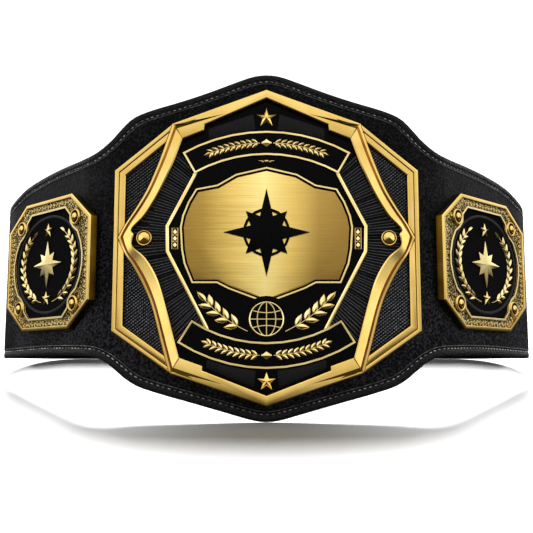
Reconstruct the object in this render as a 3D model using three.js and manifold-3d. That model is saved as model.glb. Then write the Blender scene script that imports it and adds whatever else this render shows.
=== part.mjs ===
// Championship title belt: a black leather strap closed round the waist, a large cast main plate with
// blades, banners, laurels and a globe, and two octagonal side plates. Millimetres, +Z up.
// The belt is first made upright, with its strap's front face on y = 0 and the main plate's middle
// on z = 0, and is then tipped back on to the three places that it stands on.
import * as THREE from "three";
import { mergeVertices } from "three/addons/utils/BufferGeometryUtils.js";
import Module from "manifold-3d";

const wasm = await Module();
wasm.setup();

// Clearance between two pieces that sit on or beside each other
const seatGap = 0.3;

// Main plate: heights are measured from the strap's face towards the viewer
const plateWidth = 260;
const plateRise = 139; // from the plate's middle to its top point
const baseThickness = 2.2;
const baseInset = 0.6; // the rails stand this much proud of the base all round
const inlayThickness = 1.2; // textured corners, ribbed panels and the black centre field
const railWidth = 9.5;
const railBandShare = 0.36; // share of the rail that lies outside its groove
const railGrooveWidth = 1.1; // width and depth of that groove
const railHeight = 5.6;
const bladeEdgeHeight = 5.4;
const bladeRidgeHeight = 8.2;
const chevronHeight = 5.8;
const chevronHollowDepth = 1.8; // depth of the wedge cut beside each blade head
const castChamfer = 0.8;
const centreRingWidth = 2.9;
const centreRingHeight = 3.6;
const bannerThickness = 2.8;
const bannerLineWidth = 1.6;
const bannerLineHeight = 3.6;
const centrePlateThickness = 1.8;
const centrePlateChamfer = 0.4;
const centreLineWidth = 1.5;
const centreLineGap = 1.5;
const centreLineHeight = 2.4;
const emblemThickness = 1.2;
const emblemRise = 1.1; // from the emblem's edge to its middle
const emblemRingWidth = 2.2; // width of the circle behind its rays
const emblemRingShare = 0.55; // size of that circle, as a share of the emblem's
const lozengeLength = 9;
const lozengeWidth = 5;
const lozengeRise = 0.9;
const smallLozenge = 0.62; // size of every second lozenge
const ornamentRuleWidth = 0.9; // width of the thin line that joins the lozenges
const globeRadius = 14.9;
const globeWireWidth = 1.6;
const globeThickness = 2;
const crossStepHeight = 0.15; // thin bars that cross differ by this, so that no faces share a plane
const globeMargin = 4.6; // bare field left round the globe
const globeParallel = 0.52; // places of its parallels and side meridians, as shares of its radius
const globeMeridian = 0.55;
const parallelSag = 0.12;
const wireReach = 1.04; // how far the parallels run into the globe's ring
const topStarRadius = 9;
const bottomStarRadius = 8;
const starEdgeHeight = 1;
const starRise = 1.8;
const leafLength = 10;
const leafWidth = 4;
const stemWidth = 1;
const stemHeight = 0.6;
const leafRise = 1.7;
const leafBroadest = 0.45; // shares of a leaf's length from its foot
const leafPeak = 0.4;
const leafSpread = 0.62; // angle between a leaf and its stem
const firstPair = 1.2; // a branch's first pair of leaves and its end leaf, in spacings from its two ends
const endLeaf = 0.3;
const starNotch = 0.4; // share of a star's radius that its notches reach
const shortRay = 0.68; // shares of a compass star's size that its short rays and its notches reach
const rayNotch = 0.4;

// Side plates
const sidePlateWidth = 138;
const sidePlateHeight = 120;
const sidePlateDrop = 7.4; // the side plates' middle is this far below the main plate's
const sidePlateDepth = 8;
const sideCutWidth = 30.5; // corner cuts of the octagon
const sideCutHeight = 23.5;
const sideRimWidth = 3.4;
const sideRimRise = 1.8; // from the engraved ledge to the rim's top
const sidePocketDepth = 2.4; // from the engraved ledge to the pocket that holds the black field
const sideLineWidth = 1.8;
const sideLineHeight = 1;
const wreathWidth = 86; // between the middles of its two stems
const wreathHeight = 70;
const sideStarRadius = 6.9;
const sideEmblemWidth = 48;
const sideEmblemHeight = 43;

// Rivets and snaps
const mainRivetRadius = 6.8;
const sideRivetRadius = 6.2;
const rivetRise = 4;
const postRadius = 2.2;
const postClearance = 0.3;
const backCapRadius = 5;
const backCapThickness = 1.6;
const snapRadius = 7;
const snapRise = 2.6;
const snapSpacing = 40; // between the two columns
const snapRowShare = 0.8; // distance of a row from the tail's middle, as a share of snapSpacing
const roundSides = 10;
const holeSides = 8;
const ringSides = 24; // of the globe's ring, the cut-out round it and the emblem's circle

// Heads of the rivets and snaps: shares of their radius and their rise
const rivetHead = [
  { radius: 1, rise: 0 },
  { radius: 0.97, rise: 0.42 },
  { radius: 0.78, rise: 0.3 },
  { radius: 0.6, rise: 0.75 },
  { radius: 0, rise: 1 },
];
const snapHead = [
  { radius: 1, rise: 0 },
  { radius: 1, rise: 0.4 },
  { radius: 0.7, rise: 0.9 },
  { radius: 0, rise: 1 },
];

// Strap: bend radii and lengths are those of its outer face
const strapThickness = 3;
const topMargin = 16.9; // leather above the main plate's top point
const bottomMargin = 13.5;
const cornerOffset = 14.8; // from the main plate's side to the corner where the strap turns back
const sideTurn = THREE.MathUtils.degToRad(44);
const frontBendRadius = 60;
const sideBendRadius = 60;
const sidePlateOffset = 1; // from the corner to the side plate's near edge
const tailOverlapLength = 80;
const tailCornerRadius = 25;
const tailTopHeight = 50; // the tails' upper and lower edges, from the main plate's middle
const tailBottomDepth = 90;

// Point tables of the main plate, for its right half and from top to bottom.
// x is a share of half the plate's width, z a share of plateRise.
const outlineTable = [
  { x: 0, z: 1 },
  { x: 0.623, z: 0.782 },
  { x: 1, z: 0.482 },
  { x: 1, z: -0.51 },
  { x: 0.623, z: -0.759 },
  { x: 0, z: -0.954 },
];
const bladeTable = [
  { outerX: 0.623, outerZ: 0.782, ridgeX: 0.6, ridgeZ: 0.742, innerX: 0.558, innerZ: 0.683 },
  { outerX: 0.677, outerZ: 0.628, ridgeX: 0.641, ridgeZ: 0.605, innerX: 0.611, innerZ: 0.54 },
  { outerX: 0.731, outerZ: 0.489, ridgeX: 0.692, ridgeZ: 0.482, innerX: 0.655, innerZ: 0.445 },
  { outerX: 0.789, outerZ: 0.359, ridgeX: 0.755, ridgeZ: 0.345, innerX: 0.713, innerZ: 0.33 },
  { outerX: 0.854, outerZ: 0.251, ridgeX: 0.828, ridgeZ: 0.222, innerX: 0.797, innerZ: 0.198 },
  { outerX: 0.919, outerZ: 0.151, ridgeX: 0.895, ridgeZ: 0.132, innerX: 0.878, innerZ: 0.119 },
  { outerX: 0.973, outerZ: 0.061, ridgeX: 0.943, ridgeZ: 0.056, innerX: 0.868, innerZ: 0.08 },
  { outerX: 0.922, outerZ: -0.038, ridgeX: 0.893, ridgeZ: -0.01, innerX: 0.874, innerZ: 0.01 },
  { outerX: 0.866, outerZ: -0.12, ridgeX: 0.837, ridgeZ: -0.1, innerX: 0.789, innerZ: -0.063 },
  { outerX: 0.802, outerZ: -0.229, ridgeX: 0.771, ridgeZ: -0.219, innerX: 0.713, innerZ: -0.18 },
  { outerX: 0.741, outerZ: -0.36, ridgeX: 0.709, ridgeZ: -0.355, innerX: 0.66, innerZ: -0.327 },
  { outerX: 0.679, outerZ: -0.568, ridgeX: 0.643, ridgeZ: -0.565, innerX: 0.595, innerZ: -0.55 },
  { outerX: 0.623, outerZ: -0.759, ridgeX: 0.595, ridgeZ: -0.713, innerX: 0.561, innerZ: -0.666 },
];
const bladeFlange = 0.3; // share of the way from the blade's outer edge to its ridge
const topChevronInside = [
  { x: 0.558, z: 0.683 },
  { x: 0.417, z: 0.737 },
  { x: 0.411, z: 0.774 },
  { x: 0, z: 0.945 },
];
const topHollow = [
  { x: 0.611, z: 0.774 },
  { x: 0.594, z: 0.749 },
  { x: 0.28, z: 0.843 },
];
const bottomChevronInside = [
  { x: 0.561, z: -0.666 },
  { x: 0.411, z: -0.717 },
  { x: 0.413, z: -0.743 },
  { x: 0, z: -0.892 },
];
const bottomHollow = [
  { x: 0.611, z: -0.749 },
  { x: 0.594, z: -0.727 },
  { x: 0.28, z: -0.824 },
];
const centreRingTable = [
  { x: 0.41, z: 0.6 },
  { x: 0.479, z: 0.453 },
  { x: 0.653, z: 0.137 },
  { x: 0.648, z: -0.019 },
  { x: 0.398, z: -0.468 },
  { x: 0.33, z: -0.6 },
];
const centrePlateTable = [
  { x: 0, z: 0.507 },
  { x: 0.201, z: 0.463 },
  { x: 0.325, z: 0.395 },
  { x: 0.465, z: 0.37 },
  { x: 0.517, z: 0.287 },
  { x: 0.553, z: 0.201 },
  { x: 0.567, z: 0.129 },
  { x: 0.557, z: -0.01 },
  { x: 0.539, z: -0.097 },
  { x: 0.486, z: -0.217 },
  { x: 0.323, z: -0.217 },
  { x: 0.248, z: -0.253 },
  { x: 0, z: -0.34 },
];
// Banners: middle and radii of their arcs as shares of plateRise, and the share of half the plate's
// width that their outer arc reaches
const topBanner = { middle: -0.309, inner: 0.894, outer: 1.047, reach: 0.5563, side: 1 };
const bottomBanner = { middle: 0.266, inner: 0.84, outer: 0.999, reach: 0.5755, side: -1 };
const bannerSteps = 10;
const lozengeCount = 9;
const lozengeSpread = 0.8; // share of the banner's angle that the row of lozenges takes
// Places of single pieces on the main plate
const rivetPlace = { x: 0.803, z: 0.064 };
const insetPlace = { x: 0.6, z: 0.06, halfWidth: 0.019, halfHeight: 0.066 };
const emblemPlace = { z: 0.097, halfWidth: 0.282, halfHeight: 0.273 };
const globePlace = -0.434;
const topStarPlace = 0.829;
const bottomStarPlace = -0.809;
const laurelStart = { x: 0.122, z: -0.507 };
const laurelBend = { x: 0.31, z: -0.425 };
const laurelEnd = { x: 0.425, z: -0.29 };
const laurelPairs = 4;

// Side plate tables: x and z are shares of half the side plate's width and height
const sideLineTable = [
  { x: 0.42, z: 0.833 },
  { x: 0.548, z: 0.7 },
  { x: 0.557, z: 0.59 },
  { x: 0.62, z: 0.51 },
  { x: 0.725, z: 0.43 },
  { x: 0.804, z: 0.267 },
  { x: 0.849, z: 0.083 },
];
const sideRivetPlace = { x: 0.66, z: 0.635 };
const sideStarPlace = 0.891; // share of half the wreath's height
const wreathStart = -78; // angles on the wreath's oval, from its right end
const wreathEnd = 56;
const wreathPairs = 10;
const wreathLeafShare = 0.92; // of leafLength

// Strap edge table: s runs along the strap from its middle as a share of the distance to the corner,
// top and bottom are shares of the strap's reach above and below the main plate's middle.
const edgeTable = [
  { s: 0, top: 1, bottom: 1 },
  { s: 0.08, top: 0.991, bottom: 0.99 },
  { s: 0.18, top: 0.959, bottom: 0.963 },
  { s: 0.304, top: 0.914, bottom: 0.928 },
  { s: 0.428, top: 0.872, bottom: 0.893 },
  { s: 0.546, top: 0.836, bottom: 0.861 },
  { s: 0.67, top: 0.801, bottom: 0.825 },
  { s: 0.753, top: 0.773, bottom: 0.796 },
  { s: 0.815, top: 0.742, bottom: 0.759 },
  { s: 0.877, top: 0.686, bottom: 0.709 },
  { s: 0.932, top: 0.63, bottom: 0.668 },
  { s: 1.001, top: 0.582, bottom: 0.635 },
  { s: 1.07, top: 0.554, bottom: 0.623 },
  { s: 1.174, top: 0.54, bottom: 0.618 },
  { s: 1.354, top: 0.53, bottom: 0.613 },
  { s: 1.588, top: 0.509, bottom: 0.612 },
  { s: 1.844, top: 0.467, bottom: 0.618 },
  { s: 2.044, top: 0.4, bottom: 0.622 },
];
const tailStart = 2.6; // from here on the edges are those of the tails

// Colours and finishes
const finish = (color, metalness, roughness) =>
  new THREE.MeshStandardMaterial({ color, metalness, roughness });
const leather = finish(0x1c1c1d, 0, 0.7);
const polishedGold = finish(0xe3c15a, 1, 0.22);
const brushedGold = finish(0xcfa94a, 1, 0.38);
const blackEnamel = finish(0x0b0b0c, 0, 0.35);
const blackTexture = finish(0x161618, 0, 0.6);

// Derived places
const halfPlate = plateWidth / 2;
const frontCorner = halfPlate + cornerOffset;
const sideRun = sidePlateOffset * 2 + sidePlateWidth; // from the corner to the side bend
const bendTrim = frontBendRadius * Math.tan(sideTurn / 2);
const backFlat = frontCorner + sideRun * Math.cos(sideTurn) - sideBendRadius * Math.sin(sideTurn);
const strapTop = plateRise + topMargin;
const strapBottom = -outlineTable.at(-1).z * plateRise + bottomMargin;
const floorLevel = seatGap + baseThickness; // top of the black base
const seatLevel = floorLevel + seatGap; // what sits on the base starts here
const inlayTop = seatLevel + inlayThickness;
const onInlay = inlayTop + seatGap;
const onCentrePlate = onInlay + centrePlateThickness + seatGap;
const onBanner = seatLevel + bannerThickness + seatGap;
const sideLedge = sidePlateDepth - sideRimRise;
const sideField = sideLedge - sidePocketDepth;
const onSideLedge = sideLedge + seatGap;
const onSideField = sideField + seatGap + inlayThickness + seatGap;

// A closed mesh from its points and faces, as a solid
function solidFrom(geometry) {
  const bare = new THREE.BufferGeometry();
  bare.setAttribute("position", geometry.getAttribute("position"));
  if (geometry.index) bare.setIndex(geometry.index);
  const merged = mergeVertices(bare, 1e-4);
  return new wasm.Manifold(
    new wasm.Mesh({
      numProp: 3,
      vertProperties: merged.attributes.position.array,
      triVerts: new Uint32Array(merged.index.array),
    }),
  );
}

function pointsAndFaces(points, faces) {
  const geometry = new THREE.BufferGeometry();
  geometry.setAttribute("position", new THREE.Float32BufferAttribute(points.flat(), 3));
  geometry.setIndex(faces.flat());
  return solidFrom(geometry);
}

// A solid mirrored to the other side of x = 0
function mirrored(solid) {
  const { vertProperties, triVerts } = solid.getMesh();
  const points = [];
  for (let i = 0; i < vertProperties.length; i += 3)
    points.push([-vertProperties[i], vertProperties[i + 1], vertProperties[i + 2]]);
  const faces = [];
  for (let i = 0; i < triVerts.length; i += 3)
    faces.push([triVerts[i + 2], triVerts[i + 1], triVerts[i]]);
  return pointsAndFaces(points, faces);
}

const joined = (solids) => solids.reduce((whole, next) => whole.add(next));
const cutBy = (solid, ...tools) => tools.reduce((left, tool) => left.subtract(tool), solid);

// A solid as a named mesh with flat shaded faces
function piece(name, solid, material) {
  const { vertProperties, triVerts } = solid.getMesh();
  const geometry = new THREE.BufferGeometry();
  geometry.setAttribute("position", new THREE.Float32BufferAttribute(vertProperties, 3));
  geometry.setIndex(Array.from(triVerts));
  const flat = geometry.toNonIndexed();
  flat.computeVertexNormals();
  const mesh = new THREE.Mesh(flat, material);
  mesh.name = name;
  return mesh;
}

// Outlines are lists of [x, y] points that run anticlockwise
function anticlockwise(outline) {
  const clockwise = THREE.ShapeUtils.isClockWise(outline.map(([x, y]) => new THREE.Vector2(x, y)));
  return clockwise ? outline.toReversed() : outline;
}

function cornerShift(before, here, after) {
  const unit = (a, b) => {
    const length = Math.hypot(b[0] - a[0], b[1] - a[1]);
    return [(b[0] - a[0]) / length, (b[1] - a[1]) / length];
  };
  const [ax, ay] = unit(before, here);
  const [bx, by] = unit(here, after);
  const share = 1 + ax * bx + ay * by;
  return [-(ay + by) / share, (ax + bx) / share];
}

// An outline moved inwards, with its corners kept sharp; a negative distance moves it outwards
function inset(outline, distance) {
  const n = outline.length;
  return outline.map((here, i) => {
    const [sx, sy] = cornerShift(outline[(i + n - 1) % n], here, outline[(i + 1) % n]);
    return [here[0] + sx * distance, here[1] + sy * distance];
  });
}

// Faces between sections that all have the same number of points
function skin(count, sections, closed) {
  const faces = [];
  for (let s = 0; s < (closed ? sections : sections - 1); s++)
    for (let i = 0; i < count; i++) {
      const j = (i + 1) % count;
      const next = ((s + 1) % sections) * count;
      faces.push([s * count + i, s * count + j, next + j], [s * count + i, next + j, next + i]);
    }
  return faces;
}

// Faces that close an outline, running the way the outline runs or against it
function capFaces(outline, first, forward) {
  const flat = outline.map(([x, y]) => new THREE.Vector2(x, y));
  const keep = THREE.ShapeUtils.isClockWise(flat) !== forward;
  return THREE.ShapeUtils.triangulateShape(flat, []).map(([a, b, c]) =>
    keep ? [first + a, first + b, first + c] : [first + c, first + b, first + a],
  );
}

// A solid whose section changes with height: each level gives an inset and a height
function stacked(rawOutline, levels) {
  const outline = anticlockwise(rawOutline);
  const n = outline.length;
  const layers = levels.map(([distance]) => inset(outline, distance));
  const points = layers.flatMap((layer, k) => layer.map(([x, y]) => [x, y, levels[k][1]]));
  return pointsAndFaces(points, [
    ...skin(n, levels.length, false),
    ...capFaces(layers[0], 0, false),
    ...capFaces(layers.at(-1), n * (levels.length - 1), true),
  ]);
}

const chamfered = (outline, low, high, chamfer) =>
  stacked(outline, [
    [0, low],
    [0, high - chamfer],
    [chamfer, high],
  ]);

// A plain upright solid between two heights
function prism(outline, low, high) {
  const shape = new THREE.Shape(outline.map(([x, y]) => new THREE.Vector2(x, y)));
  const geometry = new THREE.ExtrudeGeometry(shape, { depth: high - low, bevelEnabled: false });
  return solidFrom(geometry.translate(0, 0, low));
}

// A frame round an outline: the profile gives insets and heights, and closes on itself
function frame(rawOutline, profile) {
  const outline = anticlockwise(rawOutline);
  const points = profile.flatMap(([distance, height]) =>
    inset(outline, distance).map(([x, y]) => [x, y, height]),
  );
  return pointsAndFaces(points, skin(outline.length, profile.length, true));
}

const lineProfile = (width, low, high) => [
  [0, low],
  [0, high],
  [width, high],
  [width, low],
];

const barProfile = (width, low, high) =>
  lineProfile(width, low, high).map(([side, height]) => [side - width / 2, height]);

// An open path moved sideways: to its left for a positive distance
const openOffset = (path, distance) =>
  path.slice(1, -1).map((here, i) => {
    const [sx, sy] = cornerShift(path[i], here, path[i + 2]);
    return [here[0] + sx * distance, here[1] + sy * distance];
  });

// A bar along an open path. The path's first and last points only give the slant of its two ends.
function bar(path, profile) {
  const count = profile.length;
  const points = [];
  for (let i = 1; i < path.length - 1; i++) {
    const [sx, sy] = cornerShift(path[i - 1], path[i], path[i + 1]);
    for (const [side, height] of profile)
      points.push([path[i][0] + sx * side, path[i][1] + sy * side, height]);
  }
  const sections = path.length - 2;
  const start = capFaces(profile, 0, false);
  const end = capFaces(profile, (sections - 1) * count, true);
  return rightWayOut(points, [...skin(count, sections, false), ...start, ...end]);
}

// A mesh whose faces may all point inwards, turned to point out
function rightWayOut(points, faces) {
  const made = pointsAndFaces(points, faces);
  if (made.volume() > 0) return made;
  return pointsAndFaces(points, faces.map((face) => face.toReversed()));
}

// A solid through sections of equal numbers of points, capped at both ends by fans
function lofted(sections) {
  const count = sections[0].length;
  const last = (sections.length - 1) * count;
  const faces = skin(count, sections.length, false);
  for (let i = 1; i < count - 1; i++)
    faces.push([i + 1, i, 0], [last, last + i, last + i + 1]);
  return rightWayOut(sections.flat(), faces);
}

function turned(profile, sides) {
  const lathe = new THREE.LatheGeometry(profile.map(([r, h]) => new THREE.Vector2(r, h)), sides);
  return solidFrom(lathe.rotateX(Math.PI / 2));
}

const ellipse = (halfWidth, halfHeight, sides, middleX = 0, middleY = 0) =>
  Array.from({ length: sides }, (_, i) => {
    const angle = (i / sides) * 2 * Math.PI;
    return [middleX + halfWidth * Math.cos(angle), middleY + halfHeight * Math.sin(angle)];
  });

const circle = (radius, sides, x, y) => ellipse(radius, radius, sides, x, y);

const postHole = (x, y, low, high) =>
  prism(circle(postRadius + postClearance, holeSides, x, y), low, high);

// Shares of the table rows as places on the plate
const platePoint = ({ x, z }) => [x * halfPlate, z * plateRise];
const mirrorX = (points) => points.map(([x, y]) => [-x, y]).toReversed();
const bothHalves = (half) => [...half, ...mirrorX(half).filter(([x]) => Math.abs(x) > 1e-9)];

// A star or lozenge: its rim alternates between long and short rays, and rises to its middle
function facetedStar({ rays, x = 0, y = 0, low, edge, rise }) {
  const n = rays.length;
  const rim = rays.map(([rx, ry]) => [x + rx, y + ry]);
  const points = [
    ...rim.map(([px, py]) => [px, py, low]),
    ...rim.map(([px, py]) => [px, py, low + edge]),
    [x, y, low + edge + rise],
  ];
  const faces = [...skin(n, 2, false), ...capFaces(rim, 0, false)];
  for (let i = 0; i < n; i++) faces.push([n + i, n + ((i + 1) % n), 2 * n]);
  return pointsAndFaces(points, faces);
}

const fiveRays = (radius) =>
  Array.from({ length: 10 }, (_, i) => {
    const reach = i % 2 ? radius * starNotch : radius;
    const angle = Math.PI / 2 + (i * Math.PI) / 5;
    return [reach * Math.cos(angle), reach * Math.sin(angle)];
  });

// The compass star has four long rays, four short ones and notches between them
const compassRays = (halfWidth, halfHeight) =>
  Array.from({ length: 16 }, (_, i) => {
    const reach = [1, rayNotch, shortRay, rayNotch][i % 4];
    const angle = (i * Math.PI) / 8;
    return [halfWidth * reach * Math.cos(angle), halfHeight * reach * Math.sin(angle)];
  });

function compass(halfWidth, halfHeight, low, y = 0) {
  const rays = compassRays(halfWidth, halfHeight);
  return facetedStar({ rays, y, low, edge: emblemThickness, rise: emblemRise });
}

// A leaf from its foot in a direction: four corners and a raised rib
function leaf(foot, direction, length, low) {
  const along = [Math.cos(direction), Math.sin(direction)];
  const at = (share, side, height) => [
    foot[0] + along[0] * share * length - along[1] * side * leafWidth,
    foot[1] + along[1] * share * length + along[0] * side * leafWidth,
    height,
  ];
  const points = [
    at(0, 0, low),
    at(leafBroadest, -0.5, low),
    at(1, 0, low),
    at(leafBroadest, 0.5, low),
    at(leafPeak, 0, low + leafRise),
  ];
  const faces = [
    [2, 1, 0],
    [3, 2, 0],
    [0, 1, 4],
    [1, 2, 4],
    [2, 3, 4],
    [3, 0, 4],
  ];
  return pointsAndFaces(points, faces);
}

// A laurel branch: pairs of leaves along a curved stem, and one leaf at its end
function branch(stem, pairs, length, low) {
  const steps = pairs + 2;
  const path = Array.from({ length: steps + 3 }, (_, i) => stem((i - 1) / steps));
  const parts = [bar(path, barProfile(stemWidth, low, low + stemHeight))];
  const nearby = 0.01;
  const heading = (t) => {
    const [a, b] = [stem(t - nearby), stem(t + nearby)];
    return Math.atan2(b[1] - a[1], b[0] - a[0]);
  };
  for (let i = 0; i < pairs; i++) {
    const t = (i + firstPair) / steps;
    for (const side of [-1, 1])
      parts.push(leaf(stem(t), heading(t) + side * leafSpread, length, low));
  }
  const end = 1 - endLeaf / steps;
  parts.push(leaf(stem(end), heading(end), length, low));
  return joined(parts);
}

// A stud: head on the front, a post through everything, and a plain cap behind the leather
function stud(head, radius, rise, headLow, leatherDepth) {
  const capHigh = -leatherDepth - seatGap;
  return turned(
    [
      [0, capHigh - backCapThickness],
      [backCapRadius, capHigh - backCapThickness / 2],
      [backCapRadius, capHigh],
      [postRadius, capHigh],
      [postRadius, headLow],
      ...head.map((row) => [row.radius * radius, headLow + row.rise * rise]),
    ],
    roundSides,
  );
}

const rivet = (radius, headLow) => stud(rivetHead, radius, rivetRise, headLow, strapThickness);

// Main plate
const outlineHalf = outlineTable.map(platePoint);
const plateOutline = anticlockwise(bothHalves(outlineHalf));
const highest = seatLevel + bladeRidgeHeight + castChamfer;

const bladeSide = (name) =>
  bladeTable.map((row) => [row[name + "X"] * halfPlate, row[name + "Z"] * plateRise]);
const bladeOuter = bladeSide("outer");
const bladeRidge = bladeSide("ridge");
const bladeInner = bladeSide("inner");
const bladeOutline = anticlockwise([...bladeInner, ...bladeOuter.toReversed()]);
const bladeRoom = prism(inset(bladeOutline, -seatGap), 0, highest);
const bladeTip = bladeTable.reduce(
  (best, row, i) => (row.outerX > bladeTable[best].outerX ? i : best),
  0,
);

function bladeSolid() {
  const edge = seatLevel + bladeEdgeHeight;
  const sections = bladeTable.map((_, i) => {
    const [ox, oy] = bladeOuter[i];
    const [rx, ry] = bladeRidge[i];
    const [ix, iy] = bladeInner[i];
    return [
      [ox, oy, seatLevel],
      [ox, oy, edge],
      [ox + (rx - ox) * bladeFlange, oy + (ry - oy) * bladeFlange, edge],
      [rx, ry, seatLevel + bladeRidgeHeight],
      [ix, iy, edge],
      [ix, iy, seatLevel],
    ];
  });
  return lofted(sections);
}

// A point beyond the end of a path, placed so that a bar along the path ends at a given slant
function endGuide(end, next, [slantX, slantY]) {
  const slantLength = Math.hypot(slantX, slantY);
  const [dx, dy] = [slantX / slantLength, slantY / slantLength];
  const [bx, by] = [next[0] - end[0], next[1] - end[1]];
  const along = bx * dx + by * dy;
  return [end[0] - (bx - 2 * along * dx), end[1] - (by - 2 * along * dy)];
}

// The rails run between the two blade heads and end along the heads' upper and lower edges
const headSlant = (i) => [0, 1].map((k) => bladeInner.at(i)[k] - bladeOuter.at(i)[k]);
const railPath = [
  endGuide(outlineHalf[1], outlineHalf[2], headSlant(0)),
  ...outlineHalf.slice(1, -1),
  endGuide(outlineHalf.at(-2), outlineHalf.at(-3), headSlant(-1)),
];

function railSolid() {
  const top = seatLevel + railHeight;
  const band = railWidth * railBandShare;
  const profile = [
    [0, seatLevel],
    [0, top - castChamfer],
    [castChamfer, top],
    [band, top],
    [band + railGrooveWidth / 2, top - railGrooveWidth],
    [band + railGrooveWidth, top],
    [railWidth - castChamfer, top],
    [railWidth, top - castChamfer],
    [railWidth, seatLevel],
  ].map(([side, height]) => [-side, height]);
  return cutBy(bar(railPath, profile), bladeRoom);
}

function chevronSolid(outerRows, insideRows, hollowRows) {
  const outline = bothHalves([...outerRows, ...insideRows].map(platePoint));
  const top = seatLevel + chevronHeight;
  const whole = chamfered(outline, seatLevel, top, castChamfer);
  const hollow = prism(hollowRows.map(platePoint), top - chevronHollowDepth, highest);
  return cutBy(whole, bladeRoom, mirrored(bladeRoom), hollow, mirrored(hollow));
}

// The textured corners fill the corners between the rail's inside and the blade's outside
function cornerPanelSolid(upper) {
  const inside = openOffset(railPath, -railWidth - seatGap);
  const besideTip = [inside[1][0], bladeRidge[bladeTip][1]];
  const outline = upper
    ? [...inside.slice(0, 2), besideTip, ...bladeRidge.slice(1, bladeTip).toReversed()]
    : [besideTip, ...inside.slice(2), ...bladeRidge.slice(bladeTip + 1, -1).toReversed()];
  return cutBy(prism(outline, seatLevel, inlayTop), bladeRoom);
}

// Banners lie on the base between the chevrons and the centre field
const bannerAngle = ({ outer, reach }) => Math.asin((reach * halfPlate) / (outer * plateRise));

function bannerOutline(banner, spare = 0) {
  const half = bannerAngle(banner) + spare / (banner.outer * plateRise);
  const arc = (radius, from, to) =>
    Array.from({ length: bannerSteps + 1 }, (_, i) => {
      const angle = from + ((to - from) * i) / bannerSteps;
      return bannerPoint(banner, radius, angle);
    });
  const outerArc = arc(banner.outer * plateRise + spare, -half, half);
  const innerArc = arc(banner.inner * plateRise - spare, half, -half);
  return anticlockwise([...outerArc, ...innerArc]);
}

function bannerPoint({ middle, side }, radius, angle) {
  return [radius * Math.sin(angle), middle * plateRise + side * radius * Math.cos(angle)];
}

const bannerRooms = [topBanner, bottomBanner].map((banner) =>
  prism(bannerOutline(banner, seatGap), 0, highest),
);

function bannerOrnament(banner) {
  const radius = ((banner.inner + banner.outer) / 2) * plateRise;
  const half = bannerAngle(banner) * lozengeSpread;
  const path = Array.from({ length: lozengeCount + 3 }, (_, i) =>
    bannerPoint(banner, radius, half * ((2 * (i - 1)) / lozengeCount - 1)),
  );
  const parts = [bar(path, barProfile(ornamentRuleWidth, onBanner, onBanner + ornamentRuleWidth / 2))];
  for (let i = 0; i < lozengeCount; i++) {
    const angle = half * ((2 * i) / (lozengeCount - 1) - 1);
    const [x, y] = bannerPoint(banner, radius, angle);
    const size = i % 2 ? smallLozenge : 1;
    const reaches = [lozengeLength, lozengeWidth, lozengeLength, lozengeWidth];
    const rays = reaches.map((reach, k) => {
      const way = (k * Math.PI) / 2 - banner.side * angle;
      return [(reach / 2) * size * Math.cos(way), (reach / 2) * size * Math.sin(way)];
    });
    const edge = ornamentRuleWidth / 2;
    parts.push(facetedStar({ rays, x, y, low: onBanner, edge, rise: lozengeRise }));
  }
  return joined(parts);
}

// The centre ring, the field inside it and the ribbed panels outside it all stop at the banners
const ringPath = centreRingTable.map(platePoint);
const beyond = (from, to) => [2 * to[0] - from[0], 2 * to[1] - from[1]];
const ringRun = [
  beyond(ringPath[1], ringPath[0]),
  ...ringPath,
  beyond(ringPath.at(-2), ringPath.at(-1)),
];
const ringHalf = centreRingWidth / 2;

function centreRingSolid() {
  const top = seatLevel + centreRingHeight;
  const profile = [
    [-ringHalf, seatLevel],
    [-ringHalf, top - castChamfer],
    [0, top],
    [ringHalf, top - castChamfer],
    [ringHalf, seatLevel],
  ];
  return cutBy(bar(ringRun, profile), ...bannerRooms);
}

function centreFieldSolid() {
  const outline = bothHalves(openOffset(ringRun, -ringHalf - seatGap));
  return cutBy(prism(outline, seatLevel, inlayTop), ...bannerRooms);
}

// The ribbed panels end level with the banners' outer corners
function ribbedPanelSolid() {
  const ringSide = openOffset(ringRun, ringHalf + seatGap).slice(1, -1);
  const panel = prism([...bladeInner, ...ringSide.toReversed()], seatLevel, inlayTop);
  const [x, y] = platePoint(rivetPlace);
  const ends = [topBanner, bottomBanner].map((banner) => {
    const level = bannerPoint(banner, banner.outer * plateRise, bannerAngle(banner))[1];
    const far = banner.side * plateRise;
    const strip = anticlockwise([[0, level], [halfPlate, level], [halfPlate, far], [0, far]]);
    return prism(strip, 0, highest);
  });
  return cutBy(panel, bladeRoom, postHole(x, y, 0, highest), ...bannerRooms, ...ends);
}

const centreOutline = anticlockwise(bothHalves(centrePlateTable.map(platePoint)));
const globeMiddle = globePlace * plateRise;
const globeRoom = prism(circle(globeRadius + globeMargin, ringSides, 0, globeMiddle), 0, highest);

function centrePlateSolid() {
  const outline = inset(centreOutline, centreLineWidth + centreLineGap);
  return cutBy(
    chamfered(outline, onInlay, onInlay + centrePlateThickness, centrePlateChamfer),
    globeRoom,
  );
}

function centreLineSolid() {
  const profile = lineProfile(centreLineWidth, onInlay, onInlay + centreLineHeight);
  return cutBy(frame(centreOutline, profile), globeRoom);
}

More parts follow.
